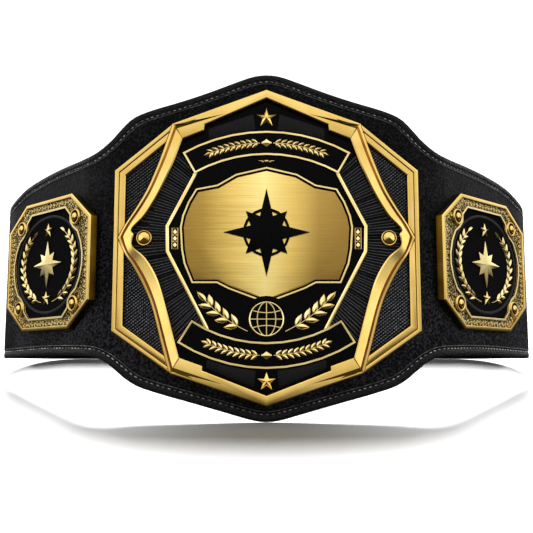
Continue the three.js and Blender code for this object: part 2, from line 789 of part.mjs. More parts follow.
// The globe is a wire ring with an equator, two parallels and three meridians, each set a little
// deeper than the one before
function globeSolid() {
  const [low, high] = [onInlay, onInlay + globeThickness];
  const reach = globeRadius - globeWireWidth / 2;
  const wire = (depth) => barProfile(globeWireWidth, low + depth / 2, high - depth);
  const arcSteps = [-4, -3, -2, -1, 0, 1, 2, 3, 4].map((step) => step / 3);
  const arc = (point, depth) => bar(arcSteps.map(point), wire(depth));
  const straight = (point, depth) => bar([-2, -1, 1, 2].map(point), wire(depth));
  const parallel = (level) =>
    arc((t) => {
      const half = Math.sqrt(1 - level * level) * reach;
      return [t * half * wireReach, globeMiddle + reach * level * (1 - parallelSag * t * t)];
    }, crossStepHeight);
  const meridian = (lean) =>
    arc((t) => {
      const angle = (t / wireReach) * (Math.PI / 2);
      return [lean * reach * Math.cos(angle), globeMiddle + reach * Math.sin(angle)];
    }, 2 * crossStepHeight);
  return joined([
    frame(circle(globeRadius, ringSides, 0, globeMiddle), lineProfile(globeWireWidth, low, high)),
    ...[-globeParallel, globeParallel].map(parallel),
    straight((t) => [t * reach, globeMiddle], crossStepHeight),
    ...[-globeMeridian, globeMeridian].map(meridian),
    straight((t) => [0, globeMiddle + t * reach], 3 * crossStepHeight),
  ]);
}

function mainLaurelSolid() {
  const [a, b, c] = [laurelStart, laurelBend, laurelEnd].map(platePoint);
  const along = (t, k) => (1 - t) ** 2 * a[k] + 2 * t * (1 - t) * b[k] + t ** 2 * c[k];
  const stem = (t) => [along(t, 0), along(t, 1)];
  return branch(stem, laurelPairs, leafLength, onInlay);
}

const fiveStar = (radius, y, low) =>
  facetedStar({ rays: fiveRays(radius), y, low, edge: starEdgeHeight, rise: starRise });

const mainStar = (radius, place, name) =>
  piece(name, fiveStar(radius, place * plateRise, seatLevel), polishedGold);

// Each piece of a pair is made for the right side and mirrored for the left
const pair = (name, solid, material) => [
  piece(name + "_right", solid, material),
  piece(name + "_left", mirrored(solid), material),
];

function mainPlate() {
  const group = new THREE.Group();
  const [rivetX, rivetY] = platePoint(rivetPlace);
  const basePlate = cutBy(
    prism(inset(plateOutline, baseInset), seatGap, floorLevel),
    postHole(rivetX, rivetY, 0, highest),
    postHole(-rivetX, rivetY, 0, highest),
  );
  const upper = outlineTable.filter((row) => row.x < 1 && row.z > 0);
  const lower = outlineTable.filter((row) => row.x < 1 && row.z < 0).toReversed();
  const { x, z, halfWidth, halfHeight } = insetPlace;
  const insetOutline = [
    [-halfWidth, -halfHeight],
    [halfWidth, -halfHeight],
    [halfWidth, halfHeight],
    [-halfWidth, halfHeight],
  ].map(([across, up]) => platePoint({ x: x + across, z: z + up }));
  const insetSolid = prism(insetOutline, onInlay, onInlay + inlayThickness);
  const rivetSolid = rivet(mainRivetRadius, onInlay).translate([rivetX, rivetY, 0]);
  const emblemSize = [emblemPlace.halfWidth * halfPlate, emblemPlace.halfHeight * plateRise];
  const emblemY = emblemPlace.z * plateRise;
  const emblemCircle = frame(
    ellipse(...emblemSize.map((half) => half * emblemRingShare), ringSides, 0, emblemY),
    lineProfile(emblemRingWidth, onCentrePlate, onCentrePlate + emblemThickness - crossStepHeight),
  );
  const emblem = compass(...emblemSize, onCentrePlate, emblemY).add(emblemCircle);
  group.add(
    piece("main_base", basePlate, blackEnamel),
    ...pair("side_rail", railSolid(), polishedGold),
    ...pair("blade", bladeSolid(), polishedGold),
    piece("chevron_top", chevronSolid(upper, topChevronInside, topHollow), polishedGold),
    piece("chevron_bottom", chevronSolid(lower, bottomChevronInside, bottomHollow), polishedGold),
    ...pair("textured_corner_upper", cornerPanelSolid(true), blackTexture),
    ...pair("textured_corner_lower", cornerPanelSolid(false), blackTexture),
    ...pair("ribbed_panel", ribbedPanelSolid(), blackTexture),
    ...pair("centre_ring", centreRingSolid(), polishedGold),
    piece("centre_field", centreFieldSolid(), blackEnamel),
    piece("centre_plate", centrePlateSolid(), brushedGold),
    piece("centre_line", centreLineSolid(), polishedGold),
    piece("centre_emblem", emblem, blackEnamel),
    ...pair("scroll_inset", insetSolid, polishedGold),
    ...pair("laurel", mainLaurelSolid(), polishedGold),
    piece("globe", globeSolid(), polishedGold),
    mainStar(topStarRadius, topStarPlace, "star_top"),
    mainStar(bottomStarRadius, bottomStarPlace, "star_bottom"),
    ...pair("main_rivet", rivetSolid, polishedGold),
  );
  for (const [name, banner] of Object.entries({ top: topBanner, bottom: bottomBanner })) {
    const outline = bannerOutline(banner);
    const line = lineProfile(bannerLineWidth, seatLevel, seatLevel + bannerLineHeight);
    const inside = inset(outline, bannerLineWidth + seatGap);
    const plate = prism(inside, seatLevel, seatLevel + bannerThickness);
    group.add(
      piece("banner_" + name, plate, blackEnamel),
      piece("banner_line_" + name, frame(outline, line), polishedGold),
      piece("banner_ornament_" + name, bannerOrnament(banner), polishedGold),
    );
  }
  group.rotation.x = Math.PI / 2;
  return group;
}

// Side plates: everything on them is placed from the plate's own middle
const sideHalfWidth = sidePlateWidth / 2;
const sideHalfHeight = sidePlateHeight / 2;
const allFour = (quarter) => {
  const right = [...quarter, ...quarter.toReversed().map(([x, y]) => [x, -y])];
  return anticlockwise([...right, ...right.toReversed().map(([x, y]) => [-x, y])]);
};
const sideOutline = allFour([
  [sideHalfWidth - sideCutWidth, sideHalfHeight],
  [sideHalfWidth, sideHalfHeight - sideCutHeight],
]);
const sideLineOutline = allFour(
  sideLineTable.map(({ x, z }) => [x * sideHalfWidth, z * sideHalfHeight]),
);
const sideRivets = [1, -1].flatMap((sx) =>
  [1, -1].map((sy) => [
    sx * sideRivetPlace.x * sideHalfWidth,
    sy * sideRivetPlace.z * sideHalfHeight,
  ]),
);

function sideBodySolid() {
  const whole = chamfered(sideOutline, seatGap, sidePlateDepth, castChamfer);
  const ledgeCut = prism(inset(sideOutline, sideRimWidth), sideLedge, highest);
  const pocket = prism(inset(sideLineOutline, sideLineWidth), sideField, highest);
  return cutBy(whole, ledgeCut, pocket, ...sideRivets.map(([x, y]) => postHole(x, y, -1, highest)));
}

function sideWreathSolid() {
  const start = THREE.MathUtils.degToRad(wreathStart);
  const end = THREE.MathUtils.degToRad(wreathEnd);
  const stem = (t) => {
    const angle = start + (end - start) * t;
    return [(wreathWidth / 2) * Math.cos(angle), (wreathHeight / 2) * Math.sin(angle)];
  };
  const right = branch(stem, wreathPairs, leafLength * wreathLeafShare, onSideField);
  const star = fiveStar(sideStarRadius, (-sideStarPlace * wreathHeight) / 2, onSideField);
  const tieHalf = (wreathWidth / 2) * Math.cos(start);
  const tieLow = (wreathHeight / 2) * Math.sin(start);
  const tie = bar(
    [-2, -1, 1, 2].map((t) => [t * tieHalf, tieLow]),
    barProfile(stemWidth, onSideField, onSideField + stemHeight),
  );
  return joined([right, mirrored(right), star, tie]);
}

function sidePlate(side) {
  const group = new THREE.Group();
  const name = (text) => "side_" + text + "_" + side;
  const line = lineProfile(sideLineWidth, onSideLedge, onSideLedge + sideLineHeight);
  const fieldOutline = inset(sideLineOutline, sideLineWidth + seatGap);
  const field = prism(fieldOutline, sideField + seatGap, onSideField - seatGap);
  const star = fiveStar(sideStarRadius, (sideStarPlace * wreathHeight) / 2, onSideField);
  const emblem = compass(sideEmblemWidth / 2, sideEmblemHeight / 2, onSideField);
  group.add(
    piece(name("plate"), sideBodySolid(), polishedGold),
    piece(name("line"), frame(sideLineOutline, line), polishedGold),
    piece(name("field"), field, blackEnamel),
    piece(name("wreath"), sideWreathSolid(), polishedGold),
    piece(name("star"), star, polishedGold),
    piece(name("emblem"), emblem, polishedGold),
  );
  const rivetSolid = rivet(sideRivetRadius, onSideLedge);
  sideRivets.forEach(([x, y], i) =>
    group.add(piece(name("rivet_" + (i + 1)), rivetSolid.translate([x, y, 0]), polishedGold)),
  );
  group.applyMatrix4(sideMatrix(side === "right" ? 1 : -1));
  return group;
}

// From a side plate's own frame to the belt's
function sideMatrix(side) {
  const reach = sidePlateOffset + sideHalfWidth;
  const upright = new THREE.Matrix4().makeRotationX(Math.PI / 2);
  const turn = new THREE.Matrix4().makeRotationZ(side * sideTurn);
  const move = new THREE.Matrix4().makeTranslation(
    side * (frontCorner + reach * Math.cos(sideTurn)),
    reach * Math.sin(sideTurn),
    -sidePlateDrop,
  );
  return move.multiply(turn).multiply(upright);
}

// Strap: its plan is walked from the middle of the front to a tail, round two bends on each side
const tailEnd = backFlat + tailOverlapLength / 2;
const planTable = [
  { length: frontCorner - bendTrim, turn: 0, steps: 14 },
  { length: frontBendRadius * sideTurn, turn: sideTurn, steps: 6 },
  { length: sideRun - bendTrim, turn: 0, steps: 6 },
  { length: sideBendRadius * (Math.PI - sideTurn), turn: Math.PI - sideTurn, steps: 13 },
  { length: tailEnd - tailCornerRadius, turn: 0, steps: 8 },
  { length: tailCornerRadius, turn: 0, steps: 5 },
];
const strapHalf = planTable.reduce((sum, { length }) => sum + length, 0);

function walk(s) {
  let [x, y, heading, left] = [0, 0, 0, s];
  for (const { length, turn } of planTable) {
    const part = Math.min(left, length);
    if (turn) {
      const radius = length / turn;
      const next = heading + part / radius;
      x += radius * (Math.sin(next) - Math.sin(heading));
      y += radius * (Math.cos(heading) - Math.cos(next));
      heading = next;
    } else {
      x += part * Math.cos(heading);
      y += part * Math.sin(heading);
    }
    left -= part;
    if (left <= 0) break;
  }
  return { x, y, outX: Math.sin(heading), outY: -Math.cos(heading) };
}

const strapDepth = walk(strapHalf).y;
const edgePlaces = edgeTable.map(({ s }) => s * frontCorner);
const edgeHeights = edgeTable.flatMap(({ top, bottom }) => [top * strapTop, -bottom * strapBottom]);
const edgeCurve = new THREE.CubicInterpolant(
  [...edgePlaces, tailStart * frontCorner],
  [...edgeHeights, tailTopHeight, -tailBottomDepth],
  2,
);
edgeCurve.settings = {
  endingStart: THREE.ZeroSlopeEnding,
  endingEnd: THREE.ZeroSlopeEnding,
};

function strapEdges(s) {
  if (s < tailStart * frontCorner) return Array.from(edgeCurve.evaluate(s));
  const intoCorner = Math.max(0, s - (strapHalf - tailCornerRadius));
  const shave = tailCornerRadius - Math.sqrt(Math.max(0, tailCornerRadius ** 2 - intoCorner ** 2));
  return [tailTopHeight - shave, shave - tailBottomDepth];
}

// The left tail steps inwards to lie under the right one
function strapSection(s, side) {
  const { x, y, outX, outY } = walk(s);
  const level = strapHalf - tailOverlapLength - tailCornerRadius;
  const ramp = THREE.MathUtils.smoothstep(s, strapHalf - tailEnd, level);
  const under = side < 0 ? (strapThickness + seatGap) * ramp : 0;
  const [top, bottom] = strapEdges(s);
  const at = (depth, z) => [side * (x - outX * depth), y - outY * depth, z];
  const inner = under + strapThickness;
  return [at(under, bottom), at(under, top), at(inner, top), at(inner, bottom)];
}

function strapStations() {
  const stations = [0];
  let start = 0;
  for (const { length, steps } of planTable) {
    const last = length === tailCornerRadius;
    for (let i = 1; i <= steps; i++) {
      const share = last ? Math.sin((i / steps) * (Math.PI / 2)) : i / steps;
      stations.push(start + length * share);
    }
    start += length;
  }
  return stations;
}

// Snaps through both tails: two columns and two rows round the middle of the overlap
const snapPlaces = [1, -1].flatMap((sx) =>
  [1, -1].map((sz) => [
    (sx * snapSpacing) / 2,
    (tailTopHeight - tailBottomDepth) / 2 + sz * snapSpacing * snapRowShare,
  ]),
);
const behind = new THREE.Matrix4().makeRotationX(-Math.PI / 2);

function snapSolid(x, z) {
  const bothTails = 2 * strapThickness + seatGap;
  return stud(snapHead, snapRadius, snapRise, seatGap, bothTails)
    .transform(behind.elements)
    .translate([x, strapDepth, z]);
}

function strapSolid() {
  const stations = strapStations();
  const left = stations.slice(1).toReversed().map((s) => strapSection(s, -1));
  const right = stations.map((s) => strapSection(s, 1));
  const through = 3 * strapThickness;
  const toUpright = new THREE.Matrix4().makeRotationX(Math.PI / 2);
  const [rivetX, rivetY] = platePoint(rivetPlace);
  const hole = (x, y, matrix) => postHole(x, y, -through, through).transform(matrix.elements);
  const holes = [
    ...[rivetX, -rivetX].map((x) => hole(x, rivetY, toUpright)),
    ...[1, -1].flatMap((side) => sideRivets.map(([x, y]) => hole(x, y, sideMatrix(side)))),
    ...snapPlaces.map(([x, z]) => hole(0, 0, behind).translate([x, strapDepth, z])),
  ];
  return cutBy(lofted([...left, ...right]), ...holes);
}

// The whole belt, tipped back until the front's lowest point and the tails stand on one level
const uprightBelt = new THREE.Group();
uprightBelt.add(
  piece("strap", strapSolid(), leather),
  mainPlate(),
  sidePlate("left"),
  sidePlate("right"),
);
snapPlaces.forEach(([x, z], i) =>
  uprightBelt.add(piece("tail_snap_" + (i + 1), snapSolid(x, z), polishedGold)),
);
uprightBelt.rotation.x = -Math.atan2(strapBottom - tailBottomDepth, strapDepth - strapThickness);

const belt = new THREE.Group();
belt.add(uprightBelt);
const beltBox = new THREE.Box3().setFromObject(belt, true);
const beltMiddle = beltBox.getCenter(new THREE.Vector3());
uprightBelt.position.set(-beltMiddle.x, -beltMiddle.y, -beltBox.min.z);

export default belt;
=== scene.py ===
# Championship title belt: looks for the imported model. The belt stands on a pale studio floor.
import bpy
import bmesh
import math
import random
from mathutils import Matrix, Vector


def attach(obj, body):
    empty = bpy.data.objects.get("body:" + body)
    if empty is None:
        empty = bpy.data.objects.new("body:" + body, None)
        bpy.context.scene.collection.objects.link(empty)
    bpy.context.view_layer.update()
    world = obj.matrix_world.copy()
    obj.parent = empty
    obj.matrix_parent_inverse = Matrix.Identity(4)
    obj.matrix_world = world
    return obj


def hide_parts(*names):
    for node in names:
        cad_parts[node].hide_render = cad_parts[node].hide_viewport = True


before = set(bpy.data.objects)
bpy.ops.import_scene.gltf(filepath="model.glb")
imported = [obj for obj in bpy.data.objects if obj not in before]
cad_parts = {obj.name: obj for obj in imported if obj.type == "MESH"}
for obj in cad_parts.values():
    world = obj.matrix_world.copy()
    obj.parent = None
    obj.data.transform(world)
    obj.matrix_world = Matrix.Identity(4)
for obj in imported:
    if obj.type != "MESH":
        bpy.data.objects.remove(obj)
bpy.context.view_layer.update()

random.seed(7)

# The belt is drawn upright in millimetres, with the strap's front face on y = 0 and the main plate's
# middle on z = 0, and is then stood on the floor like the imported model.
stance = {"tilt": 15.8655, "moveY": -81.0767, "moveZ": 141.3604}
upright = (
    Matrix.Scale(0.001, 4)
    @ Matrix.Translation((0, stance["moveY"], stance["moveZ"]))
    @ Matrix.Rotation(-math.radians(stance["tilt"]), 4, "X")
)
# Plates are drawn lying flat and seen from above: x to the right, y up the plate, z out of the leather
plateToBelt = Matrix.Rotation(math.radians(90), 4, "X")
mainPlate = {"halfWidth": 130.0, "rise": 139.0}
sidePlate = {"reach": 70.0, "corner": 144.8, "turn": 44.0, "drop": 7.4, "halfWidth": 69.0, "halfHeight": 60.0}
levels = {
    # heights above the leather, in millimetres
    "seat": 2.8, "inlay": 4.0, "onInlay": 4.3, "onBanner": 5.9,
    "sideLedge": 6.2, "onSideLedge": 6.5, "sideField": 5.3, "onSideField": 5.6,
}
onMain = upright @ plateToBelt


def onSide(side):
    turn = math.radians(sidePlate["turn"])
    place = Matrix.Translation((
        side * (sidePlate["corner"] + sidePlate["reach"] * math.cos(turn)),
        sidePlate["reach"] * math.sin(turn),
        -sidePlate["drop"],
    ))
    return upright @ place @ Matrix.Rotation(side * turn, 4, "Z") @ plateToBelt


def placeOf(node):
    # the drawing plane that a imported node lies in
    if node.startswith("side_") and not node.startswith("side_rail"):
        return onSide(-1 if node.endswith("left") else 1)
    return onMain


def hexColour(code):
    parts = [int(code[i:i + 2], 16) / 255 for i in (1, 3, 5)]
    return [p / 12.92 if p <= 0.04045 else ((p + 0.055) / 1.055) ** 2.4 for p in parts] + [1.0]


def feed(tree, node, links):
    # join sources to a node's sockets
    for key, source in links.items():
        tree.links.new(source, node.inputs[key])


def addNode(tree, kind, settings=None, links=None):
    node = tree.nodes.new(kind)
    for key, value in (settings or {}).items():
        if isinstance(key, str) and key[0].islower():
            setattr(node, key, value)
        else:
            node.inputs[key].default_value = value
    feed(tree, node, links or {})
    return node


def newFinish(name, settings):
    finish = bpy.data.materials.new(name)
    finish.use_nodes = True
    surface = finish.node_tree.nodes["Principled BSDF"]
    for key, value in settings.items():
        surface.inputs[key].default_value = value
    return finish, finish.node_tree, surface


def setRamp(ramp, stops):
    # stops are (place, sRGB hex) pairs
    elements = ramp.color_ramp.elements
    while len(elements) < len(stops):
        elements.new(0.5)
    for element, (place, code) in zip(elements, stops):
        element.position = place
        element.color = hexColour(code)


def perMillimetre(size):
    # texture scale for a pattern that repeats every so many millimetres, in metre coordinates
    return 1000.0 / size


def finishPiece(name, bm, finishes, nodes, sharp, place):
    # a piece with its finishes, put in its place; edges of more than sharp degrees stay crisp
    bmesh.ops.transform(bm, matrix=place, verts=bm.verts[:])
    bmesh.ops.recalc_face_normals(bm, faces=bm.faces[:])
    mesh = bpy.data.meshes.new(name)
    bm.to_mesh(mesh)
    bm.free()
    for face in mesh.polygons:
        face.use_smooth = True
    mesh.set_sharp_from_angle(angle=math.radians(sharp))
    for finish in finishes:
        mesh.materials.append(finish)
    piece = bpy.data.objects.new(name, mesh)
    bpy.context.scene.collection.objects.link(piece)
    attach(piece, "root")
    if nodes:
        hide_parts(*nodes)


def sideName(side):
    return "left" if side < 0 else "right"


def cutAcross(bm, place, across):
    bmesh.ops.bisect_plane(
        bm, geom=bm.verts[:] + bm.edges[:] + bm.faces[:], dist=1e-4, plane_co=place, plane_no=across,
    )


def soften(bm, edges, width):
    bmesh.ops.bevel(
        bm, geom=edges, offset=width, segments=2, profile=0.5, affect="EDGES", clamp_overlap=True,
        material=-1,
    )


def lift(bm, face, rise):
    # a face drawn out into a block; gives back the block's top
    made = bmesh.ops.extrude_face_region(bm, geom=[face], use_keep_orig=True)["geom"]
    bmesh.ops.translate(bm, vec=(0, 0, rise), verts=[g for g in made if isinstance(g, bmesh.types.BMVert)])
    return [g for g in made if isinstance(g, bmesh.types.BMFace)]


def asMesh(bm):
    mesh = bpy.data.meshes.new("stamp")
    bm.to_mesh(mesh)
    bm.free()
    return mesh


def stamp(bm, mesh, place):
    # a further copy of a small shape
    before = len(bm.verts)
    bm.from_mesh(mesh)
    bm.verts.ensure_lookup_table()
    bmesh.ops.transform(bm, matrix=place, verts=bm.verts[before:])


def lying(x, y, z, turn=0.0, size=(1, 1, 1)):
    # a place on a plate: moved, turned about the way out and scaled
    return Matrix.Translation((x, y, z)) @ Matrix.Rotation(turn, 4, "Z") @ Matrix.Diagonal((*size, 1))


def skinRings(bm, rings, stripFinish=None, closed=False):
    # skin between rings of equal numbers of points; stripFinish gives a strip's finish by its two corners
    loops, corner = [], {}
    for ring in rings:
        verts = [bm.verts.new(p) for p in ring]
        corner.update({v: i for i, v in enumerate(verts)})
        loops.append([bm.edges.new((verts[i - 1], verts[i])) for i in range(len(verts))])
    pairs = list(zip(loops, loops[1:])) + ([(loops[-1], loops[0])] if closed else [])
    for before, after in pairs:
        for face in bmesh.ops.bridge_loops(bm, edges=before + after)["faces"]:
            if stripFinish:
                face.material_index = stripFinish.get(tuple(sorted({corner[v] for v in face.verts})), 0)
    if not closed:
        for end in (loops[0], loops[-1]):
            bmesh.ops.contextual_create(bm, geom=end)


def tube(bm, path, radius, sides=8, flatten=1.0, taper=1.0, closed=False):
    # round bar along a path on a plate; taper is the share of its radius left at the path's end
    rings = []
    last = len(path) - 1
    turns = wholeTurn(sides)
    for i, here in enumerate(path):
        before, after = path[max(i - 1, 0)], path[min(i + 1, last)]
        if closed:
            before, after = path[i - 1], path[(i + 1) % len(path)]
        along = (after - before).normalized()
        across = Vector((-along.y, along.x, 0)).normalized()
        wide = radius * (1 - (1 - taper) * i / last)
        high = Vector((0, 0, wide * flatten))
        rings.append([here + across * wide * math.cos(a) + high * math.sin(a) for a in turns])
    skinRings(bm, rings, closed=closed)


def curved(points, steps):
    # smooth curve through points, with the same number of steps in each span
    path = []
    for i in range(len(points) - 1):
        a, b, c, d = (points[min(max(k, 0), len(points) - 1)] for k in (i - 1, i, i + 1, i + 2))
        for k in range(steps):
            t = k / steps
            bend, twist = 2 * a - 5 * b + 4 * c - d, 3 * b - a - 3 * c + d
            path.append(0.5 * (2 * b + (c - a) * t + bend * t ** 2 + twist * t ** 3))
    return path + [points[-1]]


def roundPath(y, z, halfWide, halfHigh, turns):
    # points of an oval about the plate's middle line
    return [Vector((halfWide * math.cos(a), y + halfHigh * math.sin(a), z)) for a in turns]


def wholeTurn(steps):
    return [2 * math.pi * k / steps for k in range(steps)]


# The camera looks slightly down at the belt, as the photograph does
photoView = {
    "place": (0.0, -0.7616, 0.2252), "pitch": -8.27, "lens": 54.03, "sensor": 36.0,
    "near": 0.01, "far": 200.0,
}
cameraData = bpy.data.cameras.new("photoCamera")
cameraData.lens = photoView["lens"]
cameraData.sensor_width = photoView["sensor"]
cameraData.clip_start = photoView["near"]
cameraData.clip_end = photoView["far"]
camera = bpy.data.objects.new("photoCamera", cameraData)
camera.location = photoView["place"]
camera.rotation_euler = (math.radians(90 + photoView["pitch"]), 0, 0)
bpy.context.scene.collection.objects.link(camera)
bpy.context.scene.camera = camera

# Studio, in metres and degrees: a white room for the eye, and for the gold a tent that is bright above,
# darker low down and has two light screens at its sides
studio = {
    "floorSize": 120.0, "reflected": 1.5, "fill": 0.22,
    "sideScreens": 1.1, "screenFoot": -0.14, "screenHead": 0.06,
    "sunFrom": (0.0, 0.53, 1.0), "sunStrength": 5.6, "sunAngle": 16.0,
    "lampPower": 30.0, "lampCone": 29.0, "lampPlace": (0.62, -0.62, 0.42), "lampAim": (0.27, -0.10),
    "lampBlend": 0.8, "lampSize": 0.08,
    # brightness from straight down to straight up, and from the middle to either side
    "upDown": [
        (0.0, "#38342e"), (0.47, "#443e34"), (0.55, "#7c776c"), (0.60, "#b0aca2"), (0.68, "#dad7d0"),
        (0.78, "#eceae5"), (0.88, "#ffffff"),
    ],
    "sideways": [
        (0.0, "#f0f0f0"), (0.5, "#f4f4f4"), (0.66, "#e0e0e0"), (0.86, "#ffffff"), (0.96, "#ffffff"),
        (1.0, "#c8c8c8"),
    ],
    "screens": [(0.5, "#000000"), (0.68, "#ffffff"), (0.84, "#ffffff"), (0.94, "#c4c4c4")],
}
bpy.context.scene.view_settings.view_transform = "Standard"
world = bpy.data.worlds.new("studio")
bpy.context.scene.world = world
world.use_nodes = True
wt = world.node_tree
wayOut = addNode(wt, "ShaderNodeTexCoord").outputs["Generated"]
parts = addNode(wt, "ShaderNodeSeparateXYZ", None, {"Vector": wayOut})
height = addNode(wt, "ShaderNodeMath", {"operation": "MULTIPLY_ADD", 1: 0.5, 2: 0.5}, {0: parts.outputs["Z"]})
sideways = addNode(wt, "ShaderNodeMath", {"operation": "ABSOLUTE"}, {0: parts.outputs["X"]})
upDown = addNode(wt, "ShaderNodeValToRGB", None, {"Fac": height.outputs["Value"]})
setRamp(upDown, studio["upDown"])
leftRight = addNode(wt, "ShaderNodeValToRGB", None, {"Fac": sideways.outputs["Value"]})
setRamp(leftRight, studio["sideways"])
tent = addNode(wt, "ShaderNodeMix", {"data_type": "RGBA", "blend_type": "MULTIPLY", 0: 1.0},
               {6: upDown.outputs["Color"], 7: leftRight.outputs["Color"]})
beside = addNode(wt, "ShaderNodeValToRGB", None, {"Fac": sideways.outputs["Value"]})
setRamp(beside, studio["screens"])
screenSettings = {
    "From Min": studio["screenFoot"], "From Max": studio["screenHead"], "To Max": studio["sideScreens"],
}
above = addNode(wt, "ShaderNodeMapRange", screenSettings, {"Value": parts.outputs["Z"]})
screens = addNode(wt, "ShaderNodeMath", {"operation": "MULTIPLY"},
                  {0: beside.outputs["Color"], 1: above.outputs["Result"]})
tent = addNode(wt, "ShaderNodeMix", {"data_type": "RGBA", "blend_type": "LIGHTEN", 0: 1.0},
               {6: tent.outputs[2], 7: screens.outputs["Value"]})
rays = addNode(wt, "ShaderNodeLightPath")
seen = addNode(wt, "ShaderNodeMix", {"data_type": "RGBA", 7: (1, 1, 1, 1)},
               {0: rays.outputs["Is Camera Ray"], 6: tent.outputs[2]})
strength = addNode(wt, "ShaderNodeMix", {2: studio["reflected"], 3: studio["fill"]},
                   {0: rays.outputs["Is Diffuse Ray"]})
feed(wt, wt.nodes["Background"], {"Color": seen.outputs[2], "Strength": strength.outputs[0]})

# White painted floor: quite matt, so that it only shows the belt's soft shadow
floorSettings = {"Base Color": hexColour("#fdfdfd"), "Roughness": 0.95, "Specular IOR Level": 0.0}
floorFinish = newFinish("white studio floor", floorSettings)[0]
bm = bmesh.new()
bmesh.ops.create_grid(bm, x_segments=2, y_segments=2, size=studio["floorSize"] / 2)
floorMesh = asMesh(bm)
floorMesh.materials.append(floorFinish)
floor = bpy.data.objects.new("floor", floorMesh)
bpy.context.scene.collection.objects.link(floor)
floor.visible_glossy = False

sunData = bpy.data.lights.new("softOverhead", "SUN")
sunData.energy = studio["sunStrength"]
sunData.angle = math.radians(studio["sunAngle"])
sun = bpy.data.objects.new("softOverhead", sunData)
sun.rotation_euler = Vector(studio["sunFrom"]).to_track_quat("Z", "Y").to_euler()
sun.visible_glossy = False
bpy.context.scene.collection.objects.link(sun)

# Two small lamps lighten the floor under the belt's sides
for side in (-1, 1):
    lampData = bpy.data.lights.new("sideLamp", "SPOT")
    lampData.energy = studio["lampPower"]
    lampData.spot_size = math.radians(studio["lampCone"])
    lampData.spot_blend = studio["lampBlend"]
    lampData.shadow_soft_size = studio["lampSize"]
    lamp = bpy.data.objects.new("sideLamp", lampData)
    x, y, z = studio["lampPlace"]
    lamp.location = (side * x, y, z)
    aim = Vector((side * studio["lampAim"][0], studio["lampAim"][1], 0.0))
    lamp.rotation_euler = (lamp.location - aim).to_track_quat("Z", "Y").to_euler()
    lamp.visible_glossy = False
    bpy.context.scene.collection.objects.link(lamp)
print("studio ready")


def blackLeather(name, dark, light, rough, gloss, grain):
    # Full-grain leather, embossed and dyed: fine pebbled grain, a soft satin sheen and slightly uneven black
    finish, tree, surface = newFinish(name, {"Roughness": rough, "Specular IOR Level": gloss})
    coords = addNode(tree, "ShaderNodeTexCoord").outputs["Object"]
    cloud = addNode(
        tree, "ShaderNodeTexNoise", {"Scale": perMillimetre(38), "Detail": 3.0}, {"Vector": coords},
    )
    pebbles = addNode(tree, "ShaderNodeTexVoronoi", {"Scale": perMillimetre(grain)}, {"Vector": coords})
    fine = addNode(
        tree, "ShaderNodeTexNoise", {"Scale": perMillimetre(grain * 1.6), "Detail": 4.0}, {"Vector": coords},
    )
    mixed = addNode(tree, "ShaderNodeMath", {"operation": "MULTIPLY_ADD", 1: 0.25},
                    {0: cloud.outputs["Fac"], 2: fine.outputs["Fac"]})
    ramp = addNode(tree, "ShaderNodeValToRGB", None, {"Fac": mixed.outputs["Value"]})
    setRamp(ramp, [(0.56, dark), (0.80, light)])
    relief = addNode(tree, "ShaderNodeMath", {"operation": "MULTIPLY_ADD", 1: 0.6},
                     {0: fine.outputs["Fac"], 2: pebbles.outputs["Distance"]})
    bump = addNode(
        tree, "ShaderNodeBump", {"Strength": 1.0, "Distance": 0.0005}, {"Height": relief.outputs["Value"]},
    )
    feed(tree, surface, {"Base Color": ramp.outputs["Color"], "Normal": bump.outputs["Normal"]})
    return finish


def platedGold(name, tones, rough, waves):
    # Gold plating over polished zinc castings: clean reflections, faintly uneven tone and hairline scratches
    finish, tree, surface = newFinish(name, {"Metallic": 1.0})
    coords = addNode(tree, "ShaderNodeTexCoord").outputs["Object"]
    cloud = addNode(
        tree, "ShaderNodeTexNoise", {"Scale": perMillimetre(22), "Detail": 2.0}, {"Vector": coords},
    )
    specks = addNode(
        tree, "ShaderNodeTexNoise", {"Scale": perMillimetre(1.5), "Detail": 4.0}, {"Vector": coords},
    )
    ramp = addNode(tree, "ShaderNodeValToRGB", None, {"Fac": cloud.outputs["Fac"]})
    setRamp(ramp, [(0.3, tones[0]), (0.7, tones[1])])
    worn = addNode(tree, "ShaderNodeMapRange", {"To Min": rough - 0.05, "To Max": rough + 0.08},
                   {"Value": specks.outputs["Fac"]})
    bump = addNode(
        tree, "ShaderNodeBump", {"Strength": waves, "Distance": 0.0004}, {"Height": cloud.outputs["Fac"]},
    )
    feed(tree, surface, {"Base Color": ramp.outputs["Color"], "Roughness": worn.outputs["Result"],
                         "Normal": bump.outputs["Normal"]})
    return finish


